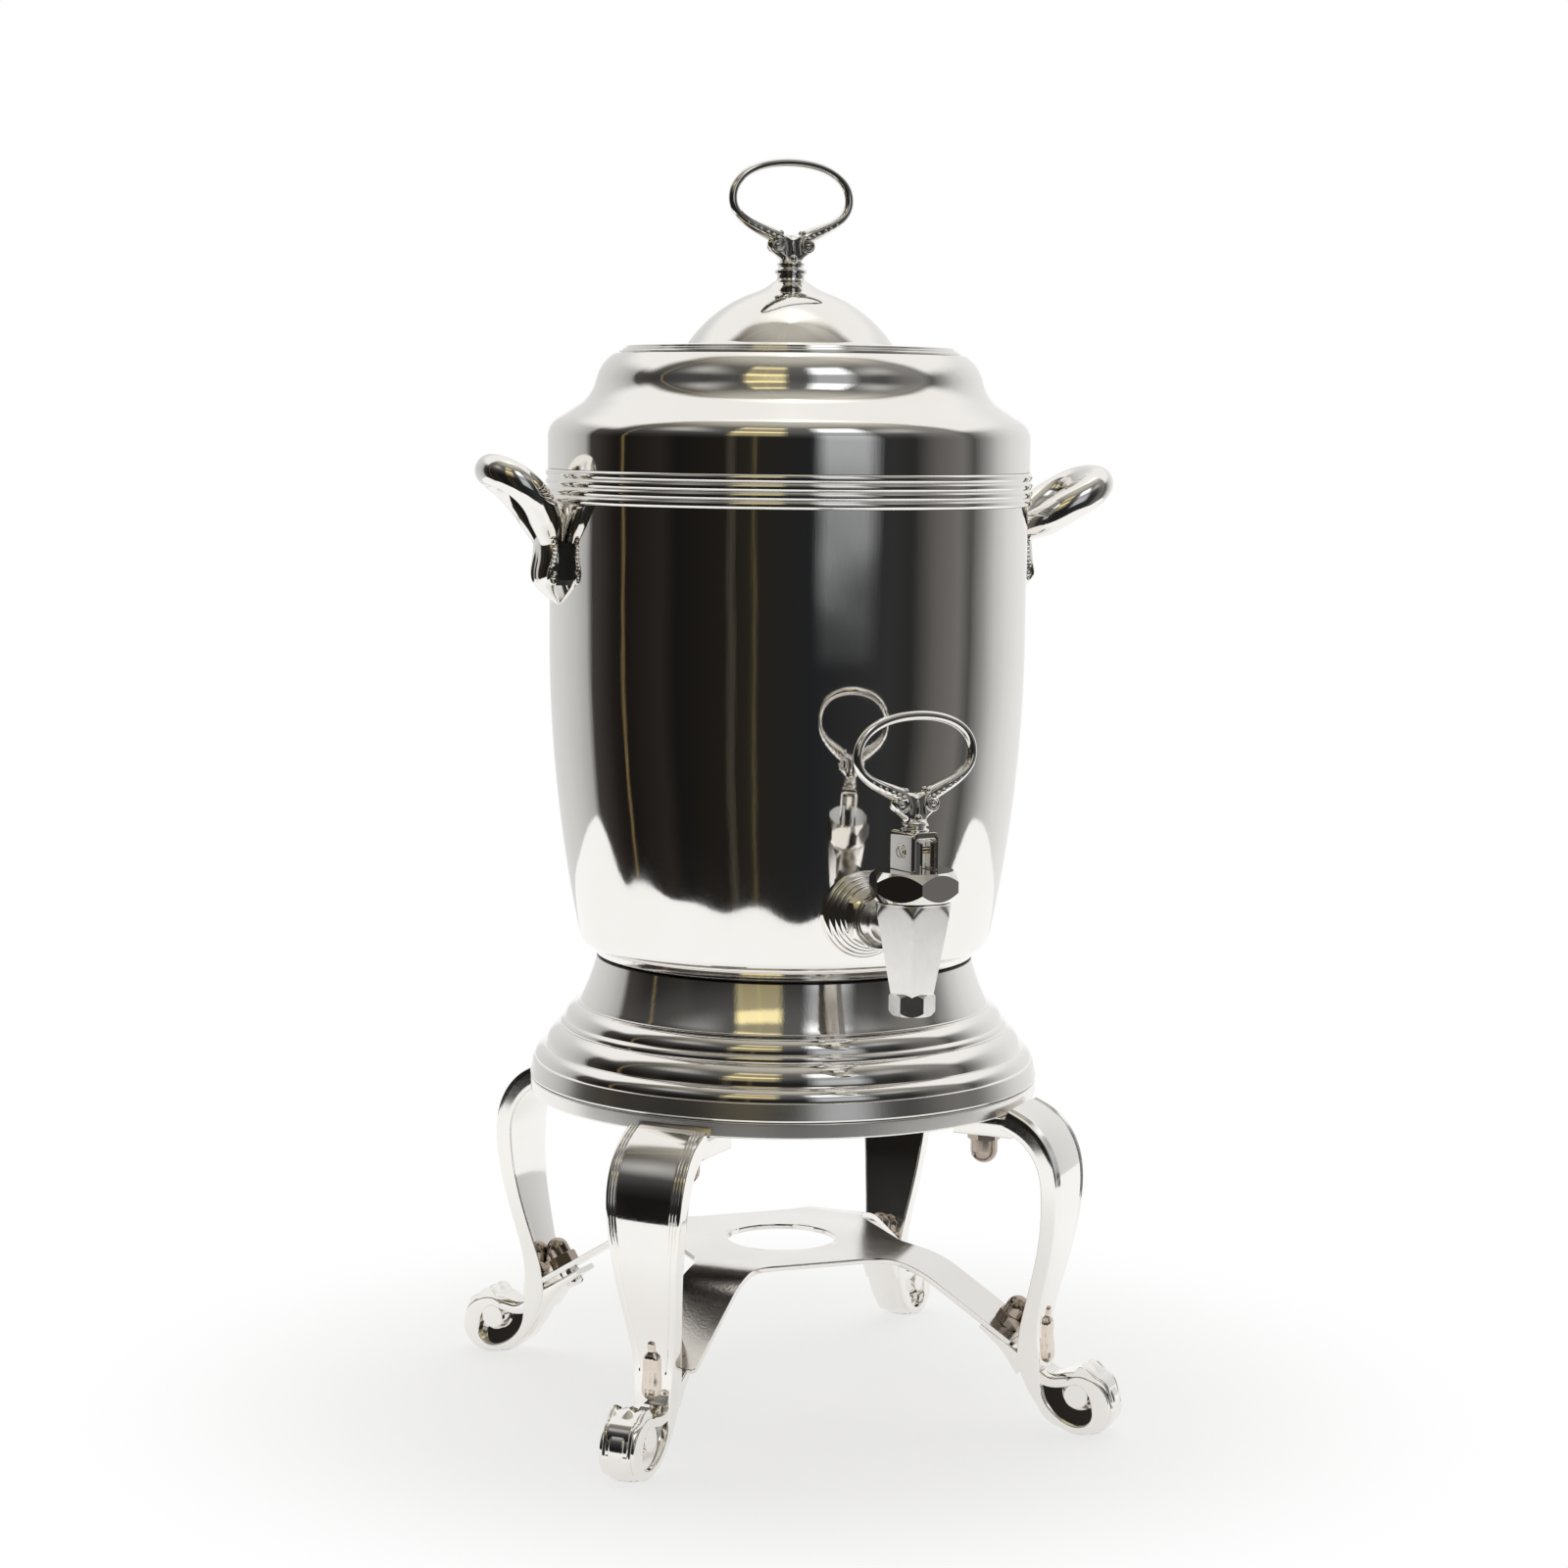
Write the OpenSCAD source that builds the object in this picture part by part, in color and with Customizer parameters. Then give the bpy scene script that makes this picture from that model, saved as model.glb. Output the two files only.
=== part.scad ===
// Silver-plated hot-drink urn on a four-legged burner stand, with a lever tap.
// Millimetres. The floor is z = 0, the urn's axis is the Z axis and the tap faces -Y.

/* [Stand] */
// height of the top of the stand ring above the floor
stand_h = 150; // [144:1:156]
// outer radius of the stand ring
ring_r = 116.6; // [114:0.2:120]
// height of the ring's outer band
ring_band_h = 7; // [6:0.5:8]
// thickness of the ring's band and floor
ring_t = 2.5; // [2:0.25:3]
// how far the knee stands out beyond the ring
knee_out = 25.6; // [22:0.2:29]
// thickness of the leg at the knee
leg_t = 7.6; // [7:0.2:9]
// width of the leg at the knee
leg_w = 37; // [34:0.5:40]
// width of the leg at the foot
foot_w = 17; // [16:0.5:19]
// outer radius of the scroll foot
scroll_r = 14.3; // [13.5:0.1:15]
// radius of the thread of the ring screws and the tray bolts
screw_r = 2.5; // [2:0.1:2.8]

/* [Burner tray] */
// height of the top of the burner tray
tray_z = 71.7; // [68:0.5:75]
// half width of the flat middle of the tray
tray_half = 50.5; // [48:0.5:53]
// radius of the burner hole
tray_hole_r = 25.1; // [22:0.5:28]
// plate thickness
tray_t = 2.4; // [2:0.2:3]
// width of the four arms
arm_w = 29; // [26:0.5:32]
// slope of the arms, degrees
arm_slope = 32; // [30:0.5:34]

/* [Base] */
// height of the moulded base
base_h = 56; // [52:0.5:60]
// radius of the base at its top edge
base_top_r = 86.4; // [84:0.2:89]
// radius of the hole over the burner
base_hole_r = 68; // [62:1:72]

/* [Vessel] */
// largest radius of the vessel
body_r = 108.8; // [107:0.1:110]
// height of the vessel from its foot to the reeded band
body_h = 207; // [200:1:214]
// radius of the curve of the vessel's side
belly_r = 660; // [640:10:720]
// wall thickness
wall = 1.6; // [1.2:0.1:2]
// height of each reed of the band
reed_h = 3.75; // [3.4:0.05:4]

/* [Shoulder and lid] */
// how far the upright collar stands out beyond the vessel
collar_out = 1; // [0.4:0.1:1.8]
// height of the upright collar
collar_h = 13; // [11:0.5:15]
// how far the lid's rim stands in from the shoulder's top edge
lid_in = 2.74; // [1.64:0.1:3.64]
// how far the filling mouth stands in from the lid's rim
mouth_in = 6.8; // [5.8:0.1:7.8]
// radius of the dome at its foot
dome_r = 46.5; // [44:0.5:49]
// height of the dome
dome_h = 28; // [25:0.5:31]
// depth of the ring that locates the lid
lid_skirt_h = 12; // [9:0.5:15]
// clearance of that ring in the mouth
lid_gap = 1; // [0.6:0.1:1.5]

/* [Finger rings] */
// width of the finger ring over its outside
finger_w = 60; // [57:0.5:63]
// radius of the wire of the ring
finger_wire_r = 2.3; // [2:0.1:2.6]
// height of the ring above the scrolls' foot
finger_h = 46; // [44:0.5:48]
// turn of the lid's ring, degrees
knob_turn = 5; // [0:1:20]

/* [Handles] */
// half width of the handle loop at the middle of the bar
loop_b = 36; // [34:0.5:38]
// half depth of the handle loop at the middle of the bar
loop_a = 18; // [17:0.5:20]
// radius of the handle bar
bar_r = 8; // [7:0.25:8.5]
// slope of the loop, degrees
loop_rise = 32; // [28:0.5:36]
// thickness of the fibre pad under each handle
pad_t = 4; // [3:0.25:5]

/* [Tap] */
// height of the tap's shank above the vessel's foot
tap_h = 32.5; // [31:0.5:34]
// distance of the spout from the urn's axis
tap_reach = 155; // [152:0.5:158]
// length of the spout below the bonnet
spout_h = 48; // [46:0.5:50]
// radius of the spout's barrel at the top
barrel_r = 16.6; // [16:0.1:17.2]
// size of the bonnet nut across its flats
bonnet_af = 37.6; // [37:0.1:39]
// height of the bonnet nut
bonnet_h = 12; // [11:0.25:13]
// radius of the valve stem
stem_r = 3; // [2.6:0.1:3.2]
// radial clearance of the stem in the bonnet
stem_gap = 0.08; // [0.05:0.01:0.1]
// width of the yoke across the pivot
yoke_w = 13.4; // [13:0.2:14.4]
// depth of the yoke along the tilt
yoke_d = 18; // [17:0.25:19]
// height of the yoke
yoke_h = 16.5; // [15.5:0.25:17.5]
// turn of the lever about the stem, degrees
lever_turn = 12; // [0:1:20]

/* [Hidden] */
$fn = 96;
silver = [0.82, 0.81, 0.79];
fibre = [0.12, 0.11, 0.10];
rubber = [0.25, 0.24, 0.23];

ring_z = stand_h - ring_band_h;
ring_in_r = ring_r - 24;
hang_s = ring_r - 16;
tab_in_s = hang_s - 8;
tab_t = 6.5;
tab_z = ring_z - tab_t;
fit = 0.3;
thread_l = 7;

knee_s = ring_r + knee_out;
knee_z = 0.745 * stand_h;
leg_top_s = ring_r + fit;
leg_top_z = ring_z + 3.6;
ankle_s = knee_s - 10.8;
ankle_z = 0.215 * stand_h;
ankle_t = 10;
ankle_in_s = ankle_s - ankle_t;
strap_t = 4.7;
sole = 0.2;
scroll_c = [knee_s + 8.8, scroll_r - sole];
curl_r = 8.2;
curl_c = scroll_c + [-1.7, 4.9];
leaf_l = 12;
leaf_t = 4.6;

arm_bend_r = 51;
arm_bend_s = 56;
arm_end_s = ankle_in_s - 0.9;
bolt_s = arm_end_s - 7;
arm_knee = [arm_bend_s + arm_bend_r * tan(arm_slope / 2), tray_z];
arm_up = [sin(arm_slope), cos(arm_slope)];
spacer_t = 2.4;
spacer_r = 5;
lug_t = 2.8;
lug_l = 10;
lug_h = 12;
bolt_head_r = 4.6;
bolt_hole_r = 5.2;

base_ref_h = 56;
base_k = base_h / base_ref_h;
foot_z = stand_h + base_h;
seat_z = foot_z - 2;
foot_r = base_top_r - wall - 1.6;
foot_rim_t = 3;
foot_step_h = 4.6;
floor_h = 3.4;
bend_h = 14.5;
band_z = foot_z + body_h;
straight_z = band_z - 60;
step_r = body_r_at(foot_z + bend_h) - 6.2;
collar_r = body_r + collar_out;
reeds = 4;
reed_gap = 0.3;
collar_z = band_z + reeds * reed_h;
corner_r = 9;
cove_r = 20;
crown_r = 18.5;
cove_slope = 28;
cove_run = 7.2;
cove_turn = 54;
crown_end = 35;

corner_c = [collar_r - corner_r, collar_z + collar_h];
cove_a = corner_c + corner_r * [cos(90 - cove_slope), sin(90 - cove_slope)];
cove_b = cove_a + cove_run * [-cos(cove_slope), sin(cove_slope)];
cove_c = cove_b + cove_r * [sin(cove_slope), cos(cove_slope)];
crown_s = cove_slope + cove_turn;
crown_a = cove_c - cove_r * [sin(crown_s), cos(crown_s)];
crown_c = crown_a - crown_r * [sin(crown_s), cos(crown_s)];
crown_b = crown_c + crown_r * [sin(crown_end), cos(crown_end)];
lid_z = crown_b[1];
lid_r = crown_b[0] - lid_in;
mouth_r = lid_r - mouth_in;
lid_rim_h = 4.4;
lip_h = 7;
dome_z = lid_z + lid_rim_h;
dome_top_r = 7;
dome_bulge = 2.9;
lid_t = 1.4;
lid_land = 8;
knob_z = dome_z + dome_h;
knob_base_z = knob_z + fit;
knob_neck_h = 8;
knob_thread_l = 9;
knob_nut_af = 10;
knob_nut_t = 4;
neck_r = 4.6;
lever_neck_h = 2.8;

// inset and height of each step of the lid's rim
rim_steps = [[0.4, 0.2], [0, 0.6], [0.3, 1.2], [1.6, 1.4], [1.9, 2.2], [3.2, 2.4], [3.6, 3.4], [5.4, 3.7]];
// radius and height of each turn of the lid ring's neck
neck_steps = [[5.8, 0], [5.8, 1.4], [4.9, 2], [4.9, 4.2], [6.2, 4.8], [6.2, 6], [4.8, 6.6]];
// inset and height of each reed of the tap's flange, from the vessel's wall
flange_steps = [[0, 2], [0.8, 3], [2, 3], [2.2, 4.6], [3.8, 5.2], [4, 6.8], [5.4, 7.4], [5.6, 9]];

tap_z = foot_z + tap_h;
wall_y = body_r_at(tap_z);
flange_r = 19.3;
flange_t = 12;
flange_sink = 8;
shank_r = 8;
shank_wall = 2.4;
shank_thread_l = 16;
collar_t = 6;
tap_collar_r = 11;
nut_t = 9;
nut_af = 25;
inner_washer_r = 14;
inner_washer_t = 6;
lock_nut_af = 24;
lock_nut_t = 5.9;
skin = 0.05;
spout_top_z = tap_z + 13;
spout_tip_z = spout_top_z - spout_h;
tip_h = 9;
tip_r = 9.6;
outlet_r = 6;
outlet_l = 12;
chamber_r = 9;
seat_r = 5.5;
valve_z = tap_z - 12;
washer_r = 7.5;
washer_t = 3;
washer_cup = 0.4;
washer_pin_r = 1.8;
carrier_t = 4;
gasket_t = 1;
bonnet_z = spout_top_z + gasket_t;
yoke_z = bonnet_z + bonnet_h + fit;
pivot_h = 8;
pivot_z = yoke_z + pivot_h;
pin_r = 1.6;
pin_gap = 0.06;
pin_head_r = 2.5;
pin_head_t = 1;
pin_slot = 0.8;
eye_w = 6;
eye_gap = 0.4;
spring_r = 5.4;
spring_wire = 1;
spring_pocket = 4;
hex_turn = 7.6;
hex_chamfer = 0.4;
hex_slope = 1.6;

loop_s = body_r + 22;
loop_z = band_z + 5;
mount_z = band_z - 27;
mount_w = 34;
mount_t = 9;
mount_up = 13;
mount_down = 18;
mount_tip = 4;
mount_scroll_r = 7;
mount_scroll_s = 9.5;
mount_scroll_z = mount_z + 2;
mount_seat = 4;
handle_screw_dz = 7;
handle_screw_l = 4.5;
handle_s = body_r + pad_t + 0.4;
pad_w = 12;
pad_up = 9;
pad_down = 12;

// points of a circular arc
function arc(c, r, a0, a1, n) =
    [for (i = [0:n]) let (a = a0 + (a1 - a0) * i / n) c + r * [cos(a), sin(a)]];

// points of a bulging curve between two points, by its height over the chord
function bulge(p, q, h, n) =
    let (d = q - p, l = norm(d), m = (p + q) / 2, u = [d[1], -d[0]] / l)
    let (r = l * l / (8 * h) + h / 2, c = m - (r - h) * u)
    let (a = asin(l / (2 * r)), b = atan2(u[1], u[0]))
    arc(c, r, b - a, b + a, n);

// points of a cubic curve
function cubic(a, b, c, d, n) =
    [for (i = [0:n]) let (t = i / n, s = 1 - t)
        s * s * s * a + 3 * s * s * t * b + 3 * s * t * t * c + t * t * t * d];

// unit normal of an outline at one of its points
function side(p, i) =
    let (a = p[max(i - 1, 0)], b = p[min(i + 1, len(p) - 1)], d = (b - a) / norm(b - a))
    [d[1], -d[0]];

// radius of the vessel's outside at height z
function body_r_at(z) =
    let (d = max(0, straight_z - z))
    body_r - belly_r + sqrt(belly_r * belly_r - d * d);

// spun solid from an outline
module spun(p) {
    rotate_extrude()
        polygon(p);
}

// upright hexagon with chamfered corners
module hex_nut(af, h) {
    intersection() {
        cylinder(h = h, r = af / sqrt(3), $fn = 6);
        translate([0, 0, -h])
            cylinder(h = 2 * h, r1 = af / 2 + hex_slope * h + hex_chamfer, r2 = af / 2 + hex_chamfer);
        cylinder(h = 2 * h, r1 = af / 2 + hex_chamfer, r2 = af / 2 + hex_slope * h + hex_chamfer);
    }
}

// round tube along a path, with a radius for each point; ref is a way the path never runs
module tube(path, ref, r, n) {
    k = len(path);
    points = [for (i = [0:k - 1])
        let (d = path[min(i + 1, k - 1)] - path[max(i - 1, 0)], t = d / norm(d))
        let (c = cross(ref, t), u = c / norm(c), v = cross(t, u))
        for (j = [0:n - 1]) path[i] + r[i] * (cos(360 * j / n) * u + sin(360 * j / n) * v)];
    polyhedron(points, concat(
        [for (i = [0:k - 2]) for (j = [0:n - 1]) [i * n + j, i * n + n + j, i * n + (j + 1) % n]],
        [for (i = [0:k - 2]) for (j = [0:n - 1])
            [i * n + (j + 1) % n, i * n + n + j, i * n + n + (j + 1) % n]],
        [[for (j = [0:n - 1]) j], [for (j = [n - 1:-1:0]) k * n - n + j]]));
}

// a half path and its mirror image, as one path from end to end
function both_sides(half, m) =
    concat(half, [for (i = [len(half) - 2:-1:0])
        [m[0] * half[i][0], m[1] * half[i][1], half[i][2]]]);

// domed nut, its flat foot at z = 0
module acorn_nut() {
    af = 4.6 * screw_r;
    dome = 0.45 * af;
    h = thread_l + 2;
    difference() {
        union() {
            hex_nut(af, 6);
            cylinder(h = h, r = dome);
            translate([0, 0, h])
                sphere(r = dome);
        }
        translate([0, 0, -1])
            cylinder(h = thread_l + 2, r = screw_r);
    }
}

// pan-head screw, its head's flat underside at z = 0
module pan_screw(length, head_r) {
    difference() {
        union() {
            spun(concat([[0, 0], [head_r, 0]], arc([head_r - 2, 1], 2, 0, 90, 6), [[0, 3]]));
            translate([0, 0, -length])
                cylinder(h = length + 0.5, r = screw_r);
        }
        translate([-head_r, -0.6, 1.8])
            cube([2 * head_r, 1.2, 2]);
    }
}

module stand_ring() {
    color(silver)
    difference() {
        spun([[ring_in_r, ring_z], [ring_r - 0.4, ring_z], [ring_r, ring_z + 0.4],
            [ring_r, stand_h - 0.5], [ring_r - 0.5, stand_h], [ring_r - ring_t, stand_h],
            [ring_r - ring_t, ring_z + ring_t], [ring_in_r, ring_z + ring_t]]);
        for (a = [45:90:315])
            rotate([0, 0, a])
                translate([hang_s, 0, ring_z - 1])
                    cylinder(h = ring_t + 2, r = screw_r + fit);
    }
}

// point of the arm's top face at radius s
function arm_top(s) = [s, arm_knee[1] - (s - arm_knee[0]) * tan(arm_slope)];

// point of the lug's top face at radius s, under the arm and its spacer
function lug_at(s) = arm_top(s) - [0, (tray_t + spacer_t) / cos(arm_slope)];

// side view of the cabriole leg without its foot
function leg_side() = concat(
    [[tab_in_s, ring_z], [leg_top_s, ring_z]],
    cubic([leg_top_s, leg_top_z], [leg_top_s + 11, ring_z], [knee_s, knee_z + 20], [knee_s, knee_z], 10),
    cubic([knee_s, knee_z], [knee_s, knee_z - 20], [ankle_s, ankle_z + 23], [ankle_s, ankle_z], 10),
    cubic([ankle_s, ankle_z], [ankle_s, ankle_z - 12], [scroll_c[0] - 12, strap_t - sole],
        [scroll_c[0], strap_t - sole], 8),
    [[scroll_c[0], -sole]],
    cubic([scroll_c[0] - 2, -sole], [scroll_c[0] - 19, -sole], [ankle_in_s, ankle_z - 14],
        [ankle_in_s, ankle_z], 8),
    cubic([ankle_in_s, ankle_z], [ankle_in_s, ankle_z + 23], [knee_s - leg_t, knee_z - 20],
        [knee_s - leg_t, knee_z], 10),
    cubic([knee_s - leg_t, knee_z], [knee_s - leg_t, knee_z + 16], [leg_top_s + 9, tab_z + 0.4],
        [leg_top_s - 5, tab_z], 8),
    [[tab_in_s, tab_z]]);

// side view of the scroll foot and of the leaf over its throat
module scroll_side() {
    difference() {
        translate(scroll_c)
            circle(r = scroll_r);
        translate(scroll_c)
            circle(r = scroll_r - strap_t);
        translate([scroll_c[0] - 2 * scroll_r, scroll_c[1] - 2 * scroll_r])
            square([2 * scroll_r, 2 * scroll_r + curl_r - 2]);
    }
    translate(curl_c)
        circle(r = curl_r);
    translate([ankle_s - 2, ankle_z - 6])
        square([leaf_l, leaf_t]);
}

// front view of the leg, tapering from the knee to the ankle
function leg_front() =
    let (k = leg_w / 2, f = foot_w / 2, zk = knee_z + 8, za = ankle_z + 10)
    [[-f, 0], [f, 0], [f + 1, za], [k, zk], [k, stand_h], [-k, stand_h], [-k, zk], [-f - 1, za]];

// places children on the arm's top face where the bolt goes through, z along the bolt
module at_bolt() {
    translate([arm_top(bolt_s)[0], 0, arm_top(bolt_s)[1]])
        rotate([0, arm_slope, 0])
            children();
}

module leg(a) {
    grip = tray_t + spacer_t + lug_t;
    lug_out_s = ankle_in_s + 4;
    color(silver)
    rotate([0, 0, a])
    difference() {
        intersection() {
            union() {
                rotate([90, 0, 0])
                    linear_extrude(height = leg_w, center = true)
                        polygon(leg_side());
                rotate([90, 0, 0])
                    linear_extrude(height = leg_w, center = true)
                        scroll_side();
                rotate([90, 0, 0])
                    linear_extrude(height = foot_w, center = true)
                        polygon([lug_at(bolt_s - lug_l), lug_at(lug_out_s), lug_at(lug_out_s) - [0, lug_h],
                            lug_at(bolt_s - lug_l + 1) - [0, lug_t]]);
            }
            rotate([90, 0, 90])
                linear_extrude(height = 2 * knee_s)
                    polygon(leg_front());
        }
        translate([hang_s, 0, tab_z - 1])
            cylinder(h = tab_t + 2, r = screw_r + fit);
        at_bolt()
            translate([0, 0, -2 * grip])
                cylinder(h = 3 * grip, r = screw_r + fit);
        at_bolt()
            translate([0, 0, -3 * grip])
                cylinder(h = 2 * grip, r = bolt_hole_r);
    }
}

module leg_front_left() {
    leg(225);
}

module leg_front_right() {
    leg(315);
}

module leg_rear_left() {
    leg(135);
}

module leg_rear_right() {
    leg(45);
}

module ring_screws() {
    color(silver)
    for (a = [45:90:315])
        rotate([0, 0, a])
            translate([hang_s, 0, ring_z + ring_t + wall])
                pan_screw(wall + ring_t + tab_t + thread_l, bolt_head_r);
}

module ring_nuts() {
    color(silver)
    for (a = [45:90:315])
        rotate([0, 0, a])
            translate([hang_s, 0, tab_z])
                mirror([0, 0, 1])
                    acorn_nut();
}

// flat middle of the tray: a square with the roots of the four arms
module tray_flat() {
    difference() {
        union() {
            square(2 * tray_half, center = true);
            for (a = [45:90:315])
                rotate(a)
                    translate([0, -arm_w / 2])
                        square([arm_bend_s, arm_w]);
        }
        circle(r = tray_hole_r);
    }
}

// side view of one arm
function arm_side() =
    let (c = [arm_bend_s, tray_z - arm_bend_r], e = arm_top(arm_end_s))
    concat(arc(c, arm_bend_r, 90, 90 - arm_slope, 8), [e, e - tray_t * arm_up],
        arc(c, arm_bend_r - tray_t, 90 - arm_slope, 90, 8));

module burner_tray() {
    color(silver)
    difference() {
        union() {
            translate([0, 0, tray_z - tray_t])
                linear_extrude(height = tray_t)
                    intersection() {
                        tray_flat();
                        rotate(45)
                            square(2 * arm_bend_s, center = true);
                    }
            for (a = [45:90:315])
                rotate([90, 0, a])
                    linear_extrude(height = arm_w, center = true)
                        polygon(arm_side());
        }
        at_bolts(-2 * tray_t)
            cylinder(h = 3 * tray_t, r = screw_r + fit);
    }
}

// places children on all four bolts, at a height over the arm's top face
module at_bolts(h) {
    for (a = [45:90:315])
        rotate([0, 0, a])
            at_bolt()
                translate([0, 0, h])
                    children();
}

module tray_spacers() {
    color(silver)
    at_bolts(-tray_t - spacer_t)
        difference() {
            cylinder(h = spacer_t, r = spacer_r);
            translate([0, 0, -1])
                cylinder(h = spacer_t + 2, r = screw_r + fit);
        }
}

module tray_bolts() {
    color(silver)
    at_bolts(-tray_t - spacer_t - lug_t)
        mirror([0, 0, 1])
            pan_screw(tray_t + spacer_t + lug_t + thread_l, bolt_head_r);
}

module tray_nuts() {
    color(silver)
    at_bolts(0)
        acorn_nut();
}

// outside of the moulded base, from its lower edge up
function base_outer() =
    let (r = ring_r + 0.2, z = stand_h, k = base_k, top = foot_z - 0.6)
    let (a = [r - 2, z + 8.6 * k], b = [r - 7.2, z + 14.6 * k], c = [r - 14.2, z + 24 * k])
    let (d = [r - 16.2, z + 27 * k], e = [r - 21.6, z + 33.8 * k], f = [r - 22.8, z + 34.6 * k])
    concat([[r - 0.5, z + 0.4], [r, z + 0.9], [r - 1.5, z + 8.4 * k]],
        bulge(a, b, 1.4, 6), bulge(b - [0.3, 0], c, 1.7, 6),
        [c + [0.3, 0.2], c + [-1.2, 2.7 * k], d + [0.3, 0]], bulge(d, e, 1.3, 6),
        [f + [0.4, -0.3], f],
        [for (i = [1:6]) let (t = i / 6, cove = 1 - (1 - t) * (1 - 0.3 * t))
            [f[0] + (base_top_r - f[0]) * cove, f[1] + (top - f[1]) * t]]);

// inside of the moulded base, from the burner hole down to the stand ring's floor
function base_inner(r, z) = [[base_hole_r, seat_z], [base_hole_r, seat_z - wall],
    [base_top_r - wall - 0.6, seat_z - wall], [ring_r - 25, stand_h + 35 * base_k],
    [ring_r - 17.5, stand_h + 24 * base_k], [ring_r - 11, stand_h + 15 * base_k],
    [r - wall, stand_h + 7 * base_k], [r - wall, z + wall], [ring_in_r, z + wall], [ring_in_r, z],
    [r, z], [r, stand_h + 0.4]];

module base() {
    r = ring_r - ring_t - fit;
    z = ring_z + ring_t;
    rim_z = foot_z - 0.2;
    color(silver)
    difference() {
        spun(concat(base_outer(), [[base_top_r - 0.8, rim_z], [base_top_r - wall, rim_z],
            [base_top_r - wall, seat_z]], base_inner(r, z)));
        for (a = [45:90:315])
            rotate([0, 0, a])
                translate([hang_s, 0, z - 1])
                    cylinder(h = wall + 2, r = screw_r + fit);
    }
}

// outside of the vessel's wall, from its foot up
function body_outer() =
    let (zs = foot_z + foot_step_h, zb = foot_z + bend_h, rb = body_r_at(zb))
    concat([[base_top_r + 0.2, foot_z + 0.6], [step_r, zs], [step_r + 0.5, zs + 0.1]],
        bulge([step_r + 0.6, zs + 0.2], [rb, zb], 1, 5),
        [for (i = [1:12]) let (z = zb + (straight_z - zb) * i / 12) [body_r_at(z), z]],
        [[body_r, band_z]]);

// the vessel's wall above its foot, moved outward by d
function wall_line(d) = [for (p = body_outer()) if (p[1] > foot_z + foot_step_h + 0.15) p + [d, 0]];

module vessel() {
    inside = wall_line(-wall);
    n = len(inside);
    under = foot_z + 0.6;
    rim_r = foot_r - foot_rim_t;
    color(silver)
    difference() {
        spun(concat([[0, under], [rim_r, under], [rim_r, seat_z], [foot_r, seat_z], [foot_r, under]],
            body_outer(),
            [for (i = [n - 1:-1:0]) inside[i]],
            [[base_top_r - 2, foot_z + floor_h], [0, foot_z + floor_h]]));
        translate([0, 0, tap_z])
            rotate([90, 0, 0])
                cylinder(h = 2 * body_r, r = shank_r + fit);
        handle_holes();
    }
}

// places children at the two screws of each handle, pointing outward
module at_handle_screws(s) {
    for (a = [0, 180])
        for (dz = [-handle_screw_dz, handle_screw_dz])
            rotate([0, 0, a])
                translate([s, 0, mount_z + dz])
                    rotate([0, 90, 0])
                        children();
}

module handle_holes() {
    at_handle_screws(body_r - 12)
        cylinder(h = 24, r = screw_r + fit);
}

// outside of the shoulder, from the reeded band up to the mouth
function shoulder_outer() = concat(
    [[collar_r, collar_z]],
    arc(corner_c, corner_r, 0, 90 - cove_slope, 6),
    arc(cove_c, cove_r, 270 - cove_slope, 270 - crown_s, 8),
    arc(crown_c, crown_r, 90 - crown_s, 90 - crown_end, 6));

module shoulder() {
    line = shoulder_outer();
    n = len(line) - 1;
    lip = [[mouth_r, lid_z], [mouth_r, lid_z - lip_h], [mouth_r + wall, lid_z - lip_h],
        [mouth_r + wall, lid_z - wall], [crown_b[0] - wall, lid_z - wall]];
    color(silver)
    spun(concat(line, lip,
        [for (i = [n - 1:-1:1]) line[i] - wall * side(line, i)],
        [[collar_r - wall, collar_z]]));
}

module reeded_band() {
    r = collar_r + 0.2;
    color(silver)
    spun(concat([[body_r - wall, band_z], [body_r + 0.2, band_z]],
        [for (i = [0:reeds - 1]) let (z = band_z + reed_h * i)
            each bulge([r, z + reed_gap], [r, z + reed_h - reed_gap], 0.8, 5)],
        [[collar_r - 0.2, collar_z], [collar_r - wall, collar_z]]));
}

// a point of the handle loop's sloping plane, outward x and sideways y
function on_loop(p) = [loop_s + p[0] * cos(loop_rise), p[1], loop_z + p[0] * sin(loop_rise)];

// face of the handle's mount: a shield that ends in a leaf tip
function mount_face() =
    let (w = mount_w / 2, t = mount_tip)
    [[-w, 9], [-w, 2], [-t, -mount_down], [t, -mount_down], [w, 2], [w, 9], [6, mount_up], [-6, mount_up]];

// handle on the +X side: a loop on two branches, over a scrolled mount
module handle() {
    foot = [handle_s + 6, mount_scroll_s, mount_scroll_z];
    rim = cubic([0, loop_b], [0.6 * loop_a, loop_b], [loop_a, 0.6 * loop_b], [loop_a, 0], 10);
    half = concat(
        cubic(foot, foot + [4, 5, 16], on_loop([-14, loop_b]), on_loop([0, loop_b]), 12),
        [for (i = [1:len(rim) - 1]) on_loop(rim[i])]);
    path = both_sides(half, [1, -1]);
    color(silver)
    difference() {
        union() {
            tube(path, [-sin(loop_rise), 0, cos(loop_rise)], [for (p = path) bar_r], 16);
            for (m = [-1, 1])
                translate([handle_s - mount_seat, m * mount_scroll_s, mount_scroll_z])
                    rotate([0, 90, 0])
                        cylinder(h = mount_t + mount_seat, r = mount_scroll_r);
            translate([handle_s - mount_seat, 0, mount_z])
                rotate([90, 0, 90])
                    linear_extrude(height = mount_t)
                        polygon(mount_face());
        }
        translate([0, 0, mount_z - 40])
            cylinder(h = 60, r = handle_s);
        for (dz = [-handle_screw_dz, handle_screw_dz])
            translate([handle_s - mount_seat - 1, 0, mount_z + dz])
                rotate([0, 90, 0])
                    cylinder(h = mount_t, r = screw_r);
    }
}

module handle_right() {
    handle();
}

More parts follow.
